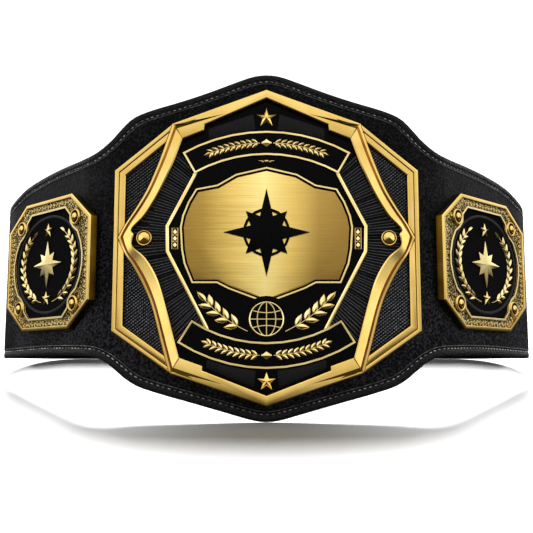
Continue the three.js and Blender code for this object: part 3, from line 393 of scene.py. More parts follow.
def brushedGold():
    # Gold plate brushed along its width: fine level lines, with a painted highlight down the middle that
    # darkens towards the sides
    finish, tree, surface = newFinish("brushed gold plate with painted highlight", {"Metallic": 1.0, "Roughness": 0.3})
    coords = addNode(tree, "ShaderNodeTexCoord").outputs["Object"]
    stretch = addNode(tree, "ShaderNodeMapping", {"Scale": (perMillimetre(60), 1.0, perMillimetre(0.9))},
                      {"Vector": coords})
    lines = addNode(tree, "ShaderNodeTexNoise", {"Scale": 1.0, "Detail": 4.0, "Roughness": 0.7},
                    {"Vector": stretch.outputs["Vector"]})
    apart = addNode(tree, "ShaderNodeSeparateXYZ", None, {"Vector": coords})
    # painted highlight: the tone is brightest in the plate's middle and darker at its sides
    across = addNode(tree, "ShaderNodeMapRange", {"From Min": -0.078, "From Max": 0.078},
                     {"Value": apart.outputs["X"]})
    paintedHighlightBand = addNode(tree, "ShaderNodeMath", {"operation": "MULTIPLY_ADD", 1: 0.10},
                     {0: lines.outputs["Fac"], 2: across.outputs["Result"]})
    tone = addNode(tree, "ShaderNodeValToRGB", None, {"Fac": paintedHighlightBand.outputs["Value"]})
    setRamp(tone, [
        (0.02, "#98793a"), (0.2, "#b08f45"), (0.36, "#e2c26a"), (0.54, "#fbe594"), (0.68, "#e6c56d"),
        (0.84, "#b2914a"), (1.03, "#a08040"),
    ])
    contrast = {"From Min": 0.3, "From Max": 0.7, "To Min": 0.82, "To Max": 1.12}
    grainTone = addNode(tree, "ShaderNodeMapRange", contrast, {"Value": lines.outputs["Fac"]})
    shade = addNode(tree, "ShaderNodeMix", {"data_type": "RGBA", "blend_type": "MULTIPLY", 0: 1.0},
                    {6: tone.outputs["Color"], 7: grainTone.outputs["Result"]})
    bump = addNode(
        tree, "ShaderNodeBump", {"Strength": 0.3, "Distance": 0.0002}, {"Height": lines.outputs["Fac"]},
    )
    feed(tree, surface, {"Base Color": shade.outputs[2], "Normal": bump.outputs["Normal"]})
    return finish


def engravedGold():
    # Chased border: the tone follows the relief, pale on the tops and dark in the hollows as painted shade,
    # with a fine grain punched between the scrolls
    finish, tree, surface = newFinish("chased gold with painted shade", {"Metallic": 1.0, "Roughness": 0.36})
    coords = addNode(tree, "ShaderNodeTexCoord").outputs["Object"]
    curls = {"Scale": perMillimetre(2.1), "Detail": 2.0, "Distortion": 1.6}
    swirl = addNode(tree, "ShaderNodeTexNoise", curls, {"Vector": coords})
    punched = addNode(tree, "ShaderNodeTexVoronoi", {"Scale": perMillimetre(1.7)}, {"Vector": coords})
    mixed = addNode(tree, "ShaderNodeMath", {"operation": "MULTIPLY_ADD", 1: -0.6},
                    {0: punched.outputs["Distance"], 2: swirl.outputs["Fac"]})
    # painted shade: the same height that drives the bump darkens the low ground
    ramp = addNode(tree, "ShaderNodeValToRGB", None, {"Fac": mixed.outputs["Value"]})
    setRamp(ramp, [(0.12, "#2c210b"), (0.25, "#806a31"), (0.42, "#e4d08e")])
    bump = addNode(
        tree, "ShaderNodeBump", {"Strength": 0.8, "Distance": 0.0008}, {"Height": mixed.outputs["Value"]},
    )
    feed(tree, surface, {"Base Color": ramp.outputs["Color"], "Normal": bump.outputs["Normal"]})
    return finish


def blackPaint(name, stops, rough, gloss, grain, relief):
    # Fired enamel or casting paint: black with a faint orange peel, grainier where it lies on knurling
    finish, tree, surface = newFinish(name, {"Roughness": rough, "Specular IOR Level": gloss})
    coords = addNode(tree, "ShaderNodeTexCoord").outputs["Object"]
    peel = addNode(
        tree, "ShaderNodeTexNoise", {"Scale": perMillimetre(grain), "Detail": 3.0}, {"Vector": coords},
    )
    ramp = addNode(tree, "ShaderNodeValToRGB", None, {"Fac": peel.outputs["Fac"]})
    setRamp(ramp, stops)
    strength, distance = relief
    bump = addNode(
        tree, "ShaderNodeBump", {"Strength": strength, "Distance": distance}, {"Height": peel.outputs["Fac"]},
    )
    feed(tree, surface, {"Base Color": ramp.outputs["Color"], "Normal": bump.outputs["Normal"]})
    return finish


def blackEnamel(name, tones, rough, gloss):
    return blackPaint(name, [(0.3, tones[0]), (0.7, tones[1])], rough, gloss, 1.6, (0.15, 0.0003))


def waxedThread():
    # Waxed polyester thread, laid in two plies: a dull pale grey with the twist as fine darker bands
    finish, tree, surface = newFinish("grey waxed thread", {"Roughness": 0.6, "Specular IOR Level": 0.3})
    coords = addNode(tree, "ShaderNodeTexCoord").outputs["Object"]
    plies = {"Scale": perMillimetre(9.0), "Distortion": 1.0, "bands_direction": "DIAGONAL"}
    twist = addNode(tree, "ShaderNodeTexWave", plies, {"Vector": coords})
    ramp = addNode(tree, "ShaderNodeValToRGB", None, {"Fac": twist.outputs["Fac"]})
    setRamp(ramp, [(0.2, "#4c4a47"), (0.8, "#9c9890")])
    bump = addNode(
        tree, "ShaderNodeBump", {"Strength": 0.3, "Distance": 0.0002}, {"Height": twist.outputs["Fac"]},
    )
    feed(tree, surface, {"Base Color": ramp.outputs["Color"], "Normal": bump.outputs["Normal"]})
    return finish


leatherFinish = blackLeather("black full-grain leather", "#080809", "#262629", 0.4, 0.022, 1.3)
rimFinish = blackLeather("burnished leather rim", "#060607", "#111113", 0.3, 0.13, 1.5)
liningFinish = blackLeather("black leather lining", "#0c0c0d", "#19191a", 0.6, 0.12, 0.9)
# paler leather on the crease line: a painted highlight
creaseHighlightFinish = blackLeather("leather crease with painted highlight", "#2c2c2e", "#5c5c60", 0.35, 0.1, 1.5)
goldFinish = platedGold("polished gold plating", ("#e2bd66", "#f0cf7c"), 0.17, 0.05)
trimFinish = platedGold("pale gold trim", ("#ecd084", "#f9e7a8"), 0.22, 0.04)
mirrorFinish = platedGold("mirror gold rivet", ("#e2bd66", "#f0cf7c"), 0.1, 0.02)
# the blades' groove wall in painted shade, and a darker copy for where it faces down
bladeGrooveShadeFinish = platedGold("gold groove wall in painted shade", ("#8a5216", "#b57a2c"), 0.3, 0.1)
bladeGrooveDeepShadeFinish = platedGold("shaded gold groove wall", ("#4a280c", "#743f18"), 0.35, 0.1)
# dark brown gold laid in grooves, hollows and the inset's ground: painted shade
recessShadeFinish = platedGold("gold groove in painted shade", ("#321f06", "#5a3a0e"), 0.42, 0.2)
# bronze-brown gold on walls, hollow floors and wedges: painted shade
shadeBronzeFinish = platedGold("bronze-toned gold in painted shade", ("#42330b", "#685218"), 0.34, 0.2)
brushedFinish = brushedGold()
engravedFinish = engravedGold()
enamelFinish = blackEnamel("black enamel", ("#020203", "#060607"), 0.2, 0.035)
ovalFinish = blackEnamel("raised black oval", ("#0c0c0d", "#1a1a1c"), 0.42, 0.1)
panelFinish = blackEnamel("black casting paint", ("#060607", "#101013"), 0.4, 0.14)
lacquerFinish = blackEnamel("flat black lacquer", ("#040405", "#0a0a0b"), 0.5, 0.006)
ribFinish = blackEnamel("black ribbed casting", ("#040405", "#0c0c0e"), 0.4, 0.06)
# pale grey for the ribs' steep flanks: a painted highlight
ribGlintFinish = blackEnamel("painted highlight on rib flanks", ("#222327", "#4e5055"), 0.35, 0.3)
# pale grey for knurl facets facing up and to the left: a painted glint
knurlGlintFinish = blackEnamel("painted glint on knurled facets", ("#232427", "#7c7e84"), 0.35, 0.3)
knurlTones = [(0.4, "#030304"), (0.55, "#0a0a0b"), (0.7, "#2a2b2e")]
knurlFinish = blackPaint("knurled black casting", knurlTones, 0.4, 0.05, 1.8, (0.5, 0.0004))
threadFinish = waxedThread()
print("finishes ready")

# Strap: drawn flat as it is cut, then carried round the belt's plan
strap = {
    "frontCorner": 144.8, "turn": 44.0, "bend": 60.0, "sideRun": 140.0, "overlap": 80.0, "tailCorner": 25.0,
    "thickness": 3.0, "gap": 0.3, "tailTop": 50.0, "tailBottom": -90.0, "top": 155.9, "bottom": 146.1,
    "edgeStep": 5.0, "tailTurns": (15, 30, 45, 60, 75, 90), "endRows": 10, "liningRim": 0.9,
    "stitchInset": 6.4, "stitchPitch": 5.0, "stitchLength": 3.2, "threadHalf": 0.5, "threadRise": 0.36,
    "stitchSink": 0.62, "liningSink": 0.56, "depth": 200.4,
    # edges shorter than the first go, and the front and the lining join where they are closer than the second
    "shortEdge": 0.05, "seam": 0.35,
}
# place along the strap as a share of the way to the front corner, and its reach up and down
strapEdge = [
    (0, 1, 1), (0.08, 0.991, 0.99), (0.18, 0.959, 0.963), (0.304, 0.914, 0.928), (0.428, 0.872, 0.893),
    (0.546, 0.836, 0.861), (0.67, 0.801, 0.825), (0.753, 0.773, 0.796), (0.815, 0.742, 0.759),
    (0.877, 0.686, 0.709), (0.932, 0.63, 0.668), (1.001, 0.582, 0.635), (1.07, 0.554, 0.623),
    (1.174, 0.54, 0.618), (1.354, 0.53, 0.613), (1.588, 0.509, 0.612), (1.844, 0.467, 0.618),
    (2.044, 0.4, 0.622), (2.6, 0.3207, 0.616),
]
# inset from the edge, height against the leather's face and finish: rounded rim, stitched groove, crease; the
# crease strip (finish 3) is paler leather as a painted highlight
rimProfile = [
    (0.5, -0.45, 1), (1.3, -0.08, 1), (3.9, -0.02, 1), (4.7, -0.3, 1), (5.5, -0.75, 1), (7.3, -0.75, 1),
    (8.0, -0.3, 1), (8.3, 0.12, 1), (8.95, 0.12, 3), (9.3, -0.35, 0), (9.8, -0.1, 0),
]
turnAngle = math.radians(strap["turn"])
bendTrim = strap["bend"] * math.tan(turnAngle / 2)
backFlat = (
    strap["frontCorner"] + strap["sideRun"] * math.cos(turnAngle) - strap["bend"] * math.sin(turnAngle)
)
tailEnd = backFlat + strap["overlap"] / 2
strapPlan = [
    (strap["frontCorner"] - bendTrim, 0.0),
    (strap["bend"] * turnAngle, turnAngle),
    (strap["sideRun"] - bendTrim, 0.0),
    (strap["bend"] * (math.pi - turnAngle), math.pi - turnAngle),
    (tailEnd, 0.0),
]
strapHalf = sum(length for length, turn in strapPlan)


def walkStrap(s):
    x = y = heading = 0.0
    for length, turn in strapPlan:
        part = min(s, length)
        if turn:
            radius = length / turn
            after = heading + part / radius
            x += radius * (math.sin(after) - math.sin(heading))
            y += radius * (math.cos(heading) - math.cos(after))
            heading = after
        else:
            x += part * math.cos(heading)
            y += part * math.sin(heading)
        s -= part
        if s <= 0:
            break
    return x, y, math.sin(heading), -math.cos(heading)


def strapReach(s, column):
    # smooth curve through the edge table, level at its two ends
    rows = strapEdge
    k = 0
    while k < len(rows) - 2 and rows[k + 1][0] * strap["frontCorner"] < s:
        k += 1
    places = [row[0] * strap["frontCorner"] for row in rows]
    values = [row[column] for row in rows]

    def slope(i):
        if i in (0, len(rows) - 1):
            return 0.0
        return (values[i + 1] - values[i - 1]) / (places[i + 1] - places[i - 1])

    span = places[k + 1] - places[k]
    t = min(1.0, max(0.0, (s - places[k]) / span))
    return (
        (2 * t ** 3 - 3 * t ** 2 + 1) * values[k] + (t ** 3 - 2 * t ** 2 + t) * span * slope(k)
        + (3 * t ** 2 - 2 * t ** 3) * values[k + 1] + (t ** 3 - t ** 2) * span * slope(k + 1)
    )


def strapEdges(s):
    if s >= strapEdge[-1][0] * strap["frontCorner"]:
        into = max(0.0, s - (strapHalf - strap["tailCorner"]))
        shave = strap["tailCorner"] - math.sqrt(max(0.0, strap["tailCorner"] ** 2 - into ** 2))
        return strap["tailTop"] - shave, strap["tailBottom"] + shave
    return strapReach(s, 1) * strap["top"], -strapReach(s, 2) * strap["bottom"]


def onStrap(s, z, height):
    # a point of the flat strap, carried to its place; the left tail steps in to lie under the right one
    side = -1 if s < 0 else 1
    x, y, outX, outY = walkStrap(abs(s))
    level = strapHalf - strap["overlap"] - strap["tailCorner"]
    t = min(1.0, max(0.0, (abs(s) - (strapHalf - tailEnd)) / (level - strapHalf + tailEnd)))
    under = (strap["thickness"] + strap["gap"]) * t * t * (3 - 2 * t) if side < 0 else 0.0
    depth = under - height
    return Vector((side * (x - outX * depth), y - outY * depth, z))


def strapOutline():
    # stations along the top edge from the left tail to the right one, and back along the bottom edge
    straight = strapHalf - strap["tailCorner"]
    count = round(straight / strap["edgeStep"])
    half = [straight * i / count for i in range(count + 1)]
    half += [straight + strap["tailCorner"] * math.sin(math.radians(a)) for a in strap["tailTurns"]]
    stations = [-s for s in reversed(half[1:])] + half
    upper = [(s, strapEdges(abs(s))[0]) for s in stations]
    lower = [(s, strapEdges(abs(s))[1]) for s in stations]
    endRows = strap["endRows"]
    low, high = lower[-1][1], upper[-1][1]
    endHeights = [low + (high - low) * i / endRows for i in range(1, endRows)]
    right = [(stations[-1], z) for z in reversed(endHeights)]
    left = [(stations[0], z) for z in endHeights]
    return [*upper, *right, *reversed(lower), *left], stations


def strapPiece():
    outline, stations = strapOutline()
    bm = bmesh.new()
    corners = [bm.verts.new((s, z, -strap["thickness"] / 2)) for s, z in outline]
    face = bm.faces.new(corners)
    bm.normal_update()
    if face.normal.z < 0:
        face.normal_flip()
    inset, height = 0.0, -strap["thickness"] / 2
    for toEdge, toHeight, finish in rimProfile:
        done = bmesh.ops.inset_region(
            bm, faces=[face], thickness=toEdge - inset, depth=toHeight - height, use_boundary=True,
            use_even_offset=True,
        )
        for band in done["faces"]:
            band.material_index = finish
        inset, height = toEdge, toHeight
    face.material_index = 0
    for s in stations[1:-1:2]:
        cutAcross(bm, (s, 0, 0), (1, 0, 0))
    bmesh.ops.dissolve_degenerate(bm, dist=strap["shortEdge"], edges=bm.edges[:])
    # the lining is the same sheet seen from behind, with a shallower rim
    made = bmesh.ops.duplicate(bm, geom=bm.verts[:] + bm.edges[:] + bm.faces[:])
    backFaces = [g for g in made["geom"] if isinstance(g, bmesh.types.BMFace)]
    for g in made["geom"]:
        if isinstance(g, bmesh.types.BMVert):
            g.co.z = -strap["thickness"] - g.co.z * strap["liningRim"]
    for face in backFaces:
        face.material_index = 2 if face.material_index == 0 else face.material_index
    bmesh.ops.reverse_faces(bm, faces=backFaces)
    bmesh.ops.remove_doubles(bm, verts=[v for v in bm.verts if v.is_boundary], dist=strap["seam"])
    for v in bm.verts:
        v.co = onStrap(v.co.x, v.co.y, v.co.z)
    finishes = [leatherFinish, rimFinish, liningFinish, creaseHighlightFinish]
    finishPiece("strap_leather", bm, finishes, ["strap"], 50, upright)


strapPiece()
print("strap ready")


def strapStitches():
    # short thread stitches all round the strap, on the front and on the lining
    outline = strapOutline()[0]
    path = []
    for i, here in enumerate(outline):
        before, after = Vector(outline[i - 1]), Vector(outline[(i + 1) % len(outline)])
        along = (after - before).normalized()
        path.append(Vector(here) + Vector((along.y, -along.x)) * strap["stitchInset"])
    path.append(path[0])
    total = sum((b - a).length for a, b in zip(path, path[1:]))
    number = round(total / strap["stitchPitch"])
    bm = bmesh.new()
    for level in (-strap["stitchSink"], strap["liningSink"] - strap["thickness"]):
        k, passed = 0, 0.0
        for i in range(number):
            goal = total * i / number
            while passed + (path[k + 1] - path[k]).length < goal:
                passed += (path[k + 1] - path[k]).length
                k += 1
            along = (path[k + 1] - path[k]).normalized()
            middle = path[k] + along * (goal - passed)
            across = Vector((-along.y, along.x))
            made = bmesh.ops.create_icosphere(bm, subdivisions=1, radius=1.0)["verts"]
            for v in made:
                flat = middle + along * v.co.x * strap["stitchLength"] / 2
                flat += across * v.co.y * strap["threadHalf"]
                v.co = onStrap(flat.x, flat.y, level + v.co.z * strap["threadRise"])
    finishPiece("strap_stitching", bm, [threadFinish], (), 60, upright)


strapStitches()
print("stitching ready")


# Castings keep the imported shape: edges sharper than softenAngle are softened, and grooves, grounds and
# walls are coloured dark as painted shade
castings = {
    # node start: finishes, edge softening in mm, slot, and zones of the second and third finish
    # (lowest and highest middle of a face, least and most that it looks outwards, finish)
    "main_base": ([enamelFinish], 0.3, "black_enamel", []),
    # zones in the dark brown and bronze finishes are painted shade in grooves, hollows and walls
    "side_rail": ([goldFinish, recessShadeFinish], 0.22, "polished_gold", [(7.2, 8.2, 0.25, 0.62, 1)]),
    "chevron": ([goldFinish, shadeBronzeFinish, recessShadeFinish], 0.25, "polished_gold",
                [(6.4, 7.2, 0.9, 1.1, 1), (7.25, 8.3, -0.2, 0.2, 2)]),
    "centre_ring": ([trimFinish], 0.2, "polished_gold", []),
    "centre_field": ([enamelFinish], 0.2, "black_enamel", []),
    "centre_plate": ([brushedFinish], 0.15, "brushed_gold", []),
    "centre_line": ([trimFinish], 0.35, "polished_gold", []),
    "centre_emblem": ([enamelFinish], 0.12, "black_enamel", []),
    "scroll_inset": ([goldFinish, recessShadeFinish], 0.2, "polished_gold", [(5.3, 5.7, 0.9, 1.1, 1)]),
    "star": ([goldFinish], 0.1, "polished_gold", []),
    "banner_line": ([trimFinish], 0.35, "polished_gold", []),
    "banner": ([enamelFinish], 0.2, "black_enamel", []),
    "side_plate": ([goldFinish, engravedFinish, shadeBronzeFinish], 0.35, "polished_gold",
                   [(5.9, 6.5, 0.9, 1.1, 1), (3.4, 4.4, 0.9, 1.1, 2), (3.0, 6.1, -0.3, 0.3, 2)]),
    "side_line": ([trimFinish], 0.3, "polished_gold", []),
    "side_field": ([lacquerFinish], 0.2, "black_enamel", []),
    "side_star": ([trimFinish], 0.1, "polished_gold", []),
    "side_emblem": ([trimFinish], 0.12, "polished_gold", []),
}
softenAngle = math.radians(22)


def flatCopy(node, place):
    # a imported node's shape, merged and laid flat in its drawing plane
    bm = bmesh.new()
    bm.from_mesh(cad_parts[node].data)
    bmesh.ops.remove_doubles(bm, verts=bm.verts[:], dist=1e-6)
    bmesh.ops.dissolve_limit(bm, angle_limit=math.radians(0.6), verts=bm.verts[:], edges=bm.edges[:])
    bmesh.ops.transform(bm, matrix=place.inverted(), verts=bm.verts[:])
    bm.normal_update()
    return bm


for node in sorted(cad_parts):
    starts = [key for key in castings if node.startswith(key)]
    if not starts or node.startswith("banner_ornament"):
        continue
    finishes, width, slot, zones = castings[max(starts, key=len)]
    bm = flatCopy(node, placeOf(node))
    soften(bm, [e for e in bm.edges if e.is_manifold and e.calc_face_angle(0) > softenAngle], width)
    bm.normal_update()
    for face in bm.faces:
        middle, out = face.calc_center_median().z, face.normal.z
        for lowest, highest, least, most, finish in zones:
            if lowest < middle < highest and least < out < most:
                face.material_index = finish
    finishPiece("cast_" + node, bm, finishes, [node], 20, placeOf(node))
print("castings ready")

# Blades: an outer flange, a groove, and a wide facet that rises to a bright inner edge
blade = {
    "rows": [
        # outer and inner edge, as shares of the plate's half width and rise, from the upper head down
        (0.623, 0.782, 0.558, 0.683), (0.677, 0.628, 0.611, 0.54), (0.731, 0.489, 0.655, 0.445),
        (0.789, 0.359, 0.713, 0.33), (0.854, 0.251, 0.797, 0.198), (0.919, 0.151, 0.878, 0.119),
        (0.973, 0.061, 0.868, 0.08), (0.922, -0.038, 0.874, 0.01), (0.866, -0.12, 0.789, -0.063),
        (0.802, -0.229, 0.713, -0.18), (0.741, -0.36, 0.66, -0.327), (0.679, -0.568, 0.595, -0.55),
        (0.623, -0.759, 0.561, -0.666),
    ],
    "tip": 6, "steps": 5,
    # place across the blade from its outer to its inner edge, height, and finish up to the next corner
    "section": [
        # finish 1 is the groove wall, coloured orange-brown as painted shade
        (0.0, 2.8, 0), (0.0, 8.1, 0), (0.05, 8.6, 0), (0.19, 9.0, 1), (0.35, 7.6, 0), (0.91, 9.8, 0),
        (1.0, 8.9, 0), (1.0, 2.8, 0),
    ],
}


def bladePiece(side):
    wide, high = side * mainPlate["halfWidth"], mainPlate["rise"]
    rows = []
    for a, b, c, d in blade["rows"]:
        rows.append((Vector((a * wide, b * high, 0)), Vector((c * wide, d * high, 0))))
    tip = blade["tip"]
    edges = []
    for k in (0, 1):
        upper = curved([row[k] for row in rows[:tip + 1]], blade["steps"])
        lower = curved([row[k] for row in rows[tip:]], blade["steps"])
        edges.append(upper + lower[1:])
    rings = [
        [outer.lerp(inner, share) + Vector((0, 0, height)) for share, height, finish in blade["section"]]
        for outer, inner in zip(*edges)
    ]
    strips = {(i, i + 1): row[2] for i, row in enumerate(blade["section"][:-1])}
    bm = bmesh.new()
    skinRings(bm, rings, strips)
    tipLevel = rows[tip][0].y
    # painted shade: below the tip the groove wall takes the darker copy
    for face in bm.faces:
        if face.material_index == 1 and face.calc_center_median().y < tipLevel:
            face.material_index = 2
    name, finishes = sideName(side), [goldFinish, bladeGrooveShadeFinish, bladeGrooveDeepShadeFinish]
    finishPiece("blade_facets_" + name, bm, finishes, ["blade_" + name], 14, onMain)


for side in (-1, 1):
    bladePiece(side)
print("blades ready")

# Ribbed panels: ribs that all point at the middle of the plate, a little uneven as if cut by hand. Real ones
# are about 1 mm apart; these are coarser, as finer ones don't show from the photograph's distance.
ribs = {
    # angles in degrees: how far round the ribs go, their pitch, and the share of it that is the steep flank
    "centreY": 8.9, "reach": 76, "pitch": 1.5, "steep": 0.3, "jitter": 0.2,
    "rise": 0.5, "hollow": 0.4, "uneven": (0.6, 1.2),
    # faces that look outwards less than the second share, and more than the first, are painted pale as a
    # highlight
    "glintSlope": (0.2, 0.76), "glintDepth": 0.6,
}


def ribbedPanel(node):
    bm = flatCopy(node, onMain)
    angles = []
    turn = -ribs["reach"]
    while turn < ribs["reach"]:
        # a crest, and close above it the hollow that its steep flank falls to
        crest = turn + random.uniform(-1, 1) * ribs["jitter"]
        angles += [math.radians(crest), math.radians(crest + ribs["steep"] * ribs["pitch"])]
        turn += ribs["pitch"]
    side = -1 if node.endswith("left") else 1
    for a in angles:
        cutAcross(bm, (0, ribs["centreY"], 0), (-math.sin(a), side * math.cos(a), 0))
    for v in bm.verts:
        if v.co.z < levels["inlay"] - 0.01:
            continue
        a = math.atan2(v.co.y - ribs["centreY"], abs(v.co.x))
        nearest = min(range(len(angles)), key=lambda i: abs(angles[i] - a))
        if abs(angles[nearest] - a) < 1e-4:
            spread = random.uniform(*ribs["uneven"])
            v.co.z += -ribs["hollow"] * spread if nearest % 2 else ribs["rise"] * spread
    bm.normal_update()
    least, most = ribs["glintSlope"]
    # painted highlight: the steep flanks near the top take the pale grey
    for face in bm.faces:
        onTop = face.calc_center_median().z > levels["inlay"] - ribs["glintDepth"]
        if onTop and least < abs(face.normal.z) < most:
            face.material_index = 1
    finishPiece("ribs_" + node, bm, [ribFinish, ribGlintFinish], [node], 12, onMain)


for node in ("ribbed_panel_left", "ribbed_panel_right"):
    ribbedPanel(node)
print("ribbed panels ready")

# Textured corners: two sets of slanting cuts leave rows of small pyramids, drawn about twice as coarse as
# real ones so that they show
knurl = {
    "pitch": 2.25, "slant": 38.0, "rise": 1.0, "fullSize": 1.4,
    # how far a face looks outwards: a flat top before it is raised, and a facet of a pyramid after it
    # glintSide: how far a facet must face left and up to be painted pale as a glint
    "flatTop": 0.9, "facet": 0.3, "glintSide": 0.15,
}


def knurledCorner(node):
    bm = flatCopy(node, onMain)
    reach = [v.co.xy for v in bm.verts]
    for turn in (-knurl["slant"], knurl["slant"]):
        a = math.radians(turn)
        across = Vector((-math.sin(a), math.cos(a)))
        places = [p.dot(across) for p in reach]
        for k in range(math.ceil(min(places) / knurl["pitch"]), math.ceil(max(places) / knurl["pitch"])):
            cutAcross(bm, (*(across * k * knurl["pitch"]), 0), (*across, 0))
    bm.normal_update()
    tops = [f for f in bm.faces if f.normal.z > knurl["flatTop"]]
    for v in bmesh.ops.poke(bm, faces=tops)["verts"]:
        # cut-off pyramids at the border are lower
        reach = sum(e.calc_length() for e in v.link_edges) / len(v.link_edges)
        v.co.z += knurl["rise"] * min(1.0, reach / knurl["pitch"] * knurl["fullSize"])
    bm.normal_update()
    # painted glint: facets facing up and to the left take the pale grey
    for face in bm.faces:
        x, y, out = face.normal
        if out > knurl["facet"] and x < -knurl["glintSide"] and y > knurl["glintSide"]:
            face.material_index = 1
    finishPiece("knurled_" + node, bm, [knurlFinish, knurlGlintFinish], [node], 12, onMain)


for node in sorted(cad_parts):
    if node.startswith("textured_corner"):
        knurledCorner(node)
print("knurled corners ready")

# Globe: round wires, flat against the black field
globe = {
    "y": -60.3, "radius": 14.2, "rimWire": 0.759, "wire": 0.66,
    "meridian": 0.55, "parallel": 0.52, "sag": 0.14,
    "wireLevel": 0.5, "parallelSink": 0.1, "steps": 48, "arcSteps": 24, "halfSteps": 8,
}


def globePiece():
    bm = bmesh.new()
    y, radius, low = globe["y"], globe["radius"], levels["onInlay"] + globe["wireLevel"]
    tube(bm, roundPath(y, low, radius, radius, wholeTurn(globe["steps"])), globe["rimWire"], 8, closed=True)
    arc = [math.pi * (k / globe["arcSteps"] - 0.5) for k in range(globe["arcSteps"] + 1)]
    for share in (-globe["meridian"], 0.0, globe["meridian"]):
        tube(bm, roundPath(y, low, share * radius, radius, arc), globe["wire"], 6)
    for share in (-globe["parallel"], 0.0, globe["parallel"]):
        half = radius * math.sqrt(1 - share ** 2)
        sag = globe["sag"] * radius * (0 if share == 0 else -1 if share > 0 else 1)
        path = []
        for k in range(2 * globe["halfSteps"] + 1):
            x = half * (k / globe["halfSteps"] - 1)
            high = y + share * radius + (1 - (x / half) ** 2) * sag
            path.append(Vector((x, high, low - globe["parallelSink"])))
        tube(bm, path, globe["wire"], 6)
    finishPiece("globe_wires", bm, [trimFinish], ["globe"], 40, onMain)


globePiece()

# Laurel leaves: plump almonds with a sharp rib and pointed ends
leafShape = {"along": 10, "across": 4, "crease": 0.5, "edge": 0.12, "foot": 0.85, "belly": 0.9, "plump": 0.8}


def leafMesh():
    # one leaf of length, width and rise 1, from its foot along x
    bm = bmesh.new()
    bmesh.ops.create_grid(bm, x_segments=leafShape["along"], y_segments=leafShape["across"], size=0.5)
    for v in bm.verts:
        t, across = v.co.x + 0.5, 2 * v.co.y
        spread = math.sin(math.pi * t ** leafShape["foot"]) ** leafShape["belly"] if 0 < t < 1 else 0.0
        crown = leafShape["crease"] * (1 - abs(across)) + (1 - leafShape["crease"]) * (1 - across ** 2)
        rise = leafShape["edge"] + (1 - leafShape["edge"]) * crown * spread ** leafShape["plump"]
        v.co = (t, across / 2 * spread, rise)
    rim = bmesh.ops.extrude_edge_only(bm, edges=[e for e in bm.edges if e.is_boundary])["geom"]
    for v in rim:
        if isinstance(v, bmesh.types.BMVert):
            v.co.z = 0.0
    bmesh.ops.remove_doubles(bm, verts=bm.verts[:], dist=1e-4)
    bmesh.ops.contextual_create(bm, geom=[e for e in bm.edges if e.is_boundary])
    bmesh.ops.recalc_face_normals(bm, faces=bm.faces[:])
    return asMesh(bm)


leaf = leafMesh()
stemShape = {"steps": 24, "sides": 6, "sunk": 0.5, "flatten": 0.9, "taper": 0.7, "headingStep": 0.01}


def branch(bm, stem, places, low, plant):
    # a stem with pairs of leaves and one at its end; plant["leaf"] is a leaf's length, width and rise
    steps, radius, size = stemShape["steps"], plant["stemRadius"], plant["leaf"]
    path = [Vector((*stem(k / steps), low + radius * stemShape["sunk"])) for k in range(steps + 1)]
    tube(bm, path, radius, stemShape["sides"], stemShape["flatten"], stemShape["taper"])

    def heading(t):
        a, b = Vector(stem(t - stemShape["headingStep"])), Vector(stem(t + stemShape["headingStep"]))
        return math.atan2(b.y - a.y, b.x - a.x)

    for t in places:
        for hand in (-1, 1):
            stamp(bm, leaf, lying(*stem(t), low, heading(t) + hand * plant["spread"], size))
    stamp(bm, leaf, lying(*stem(plant["end"]), low, heading(plant["end"]), size))


laurel = {
    "stem": [(15.9, -70.5), (40.3, -59.1), (55.3, -40.3)], "places": (0.18, 0.36, 0.54, 0.72), "end": 0.86,
    "spread": math.radians(34), "leaf": (11.8, 4.5, 1.7), "stemRadius": 0.5,
}


def laurelPiece(side):
    start, bend, end = (Vector((x * side, y)) for x, y in laurel["stem"])

    def stem(t):
        return (1 - t) ** 2 * start + 2 * t * (1 - t) * bend + t * t * end

    name = sideName(side)
    bm = bmesh.new()
    branch(bm, stem, laurel["places"], levels["onInlay"], laurel)
    finishPiece("laurel_spray_" + name, bm, [trimFinish], ["laurel_" + name], 24, onMain)


for side in (-1, 1):
    laurelPiece(side)


def fiveStar(bm, x, y, radius, low, edge, rise, notch=0.4):
    # a raised five-pointed star with a ridge down each ray
    made = bmesh.ops.create_circle(bm, cap_ends=True, segments=10, radius=radius)["verts"]
    for i, v in enumerate(sorted(made, key=lambda v: math.atan2(v.co.y, v.co.x))):
        reach = radius * (notch if i % 2 else 1.0)
        a = math.pi / 2 + i * math.pi / 5
        v.co = (x + reach * math.cos(a), y + reach * math.sin(a), low)
    face = next(f for f in bm.faces if made[0] in f.verts)
    for v in bmesh.ops.poke(bm, faces=lift(bm, face, edge))["verts"]:
        v.co = (x, y, low + edge + rise)


wreath = {
    "halfWidth": 43.0, "halfHeight": 35.0, "from": -78.0, "to": 56.0, "spread": math.radians(31),
    "leaf": (9.0, 3.4, 1.4), "stemRadius": 0.4, "places": [(i + 1.2) / 12 for i in range(10)], "end": 0.97,
    "starY": -31.2, "starRadius": 6.9, "starEdge": 1.0, "starRise": 1.8,
}


def wreathPiece(side):
    name, low = sideName(side), levels["onSideField"]
    bm = bmesh.new()
    for hand in (-1, 1):
        def stem(t):
            a = math.radians(wreath["from"] + (wreath["to"] - wreath["from"]) * t)
            return Vector((hand * wreath["halfWidth"] * math.cos(a), wreath["halfHeight"] * math.sin(a)))

        branch(bm, stem, wreath["places"], low, wreath)
    fiveStar(bm, 0.0, wreath["starY"], wreath["starRadius"], low, wreath["starEdge"], wreath["starRise"])
    replaced = ["side_wreath_" + name]
    finishPiece("wreath_" + name, bm, [trimFinish], replaced, 24, onSide(side))


for side in (-1, 1):
    wreathPiece(side)
print("laurels ready")

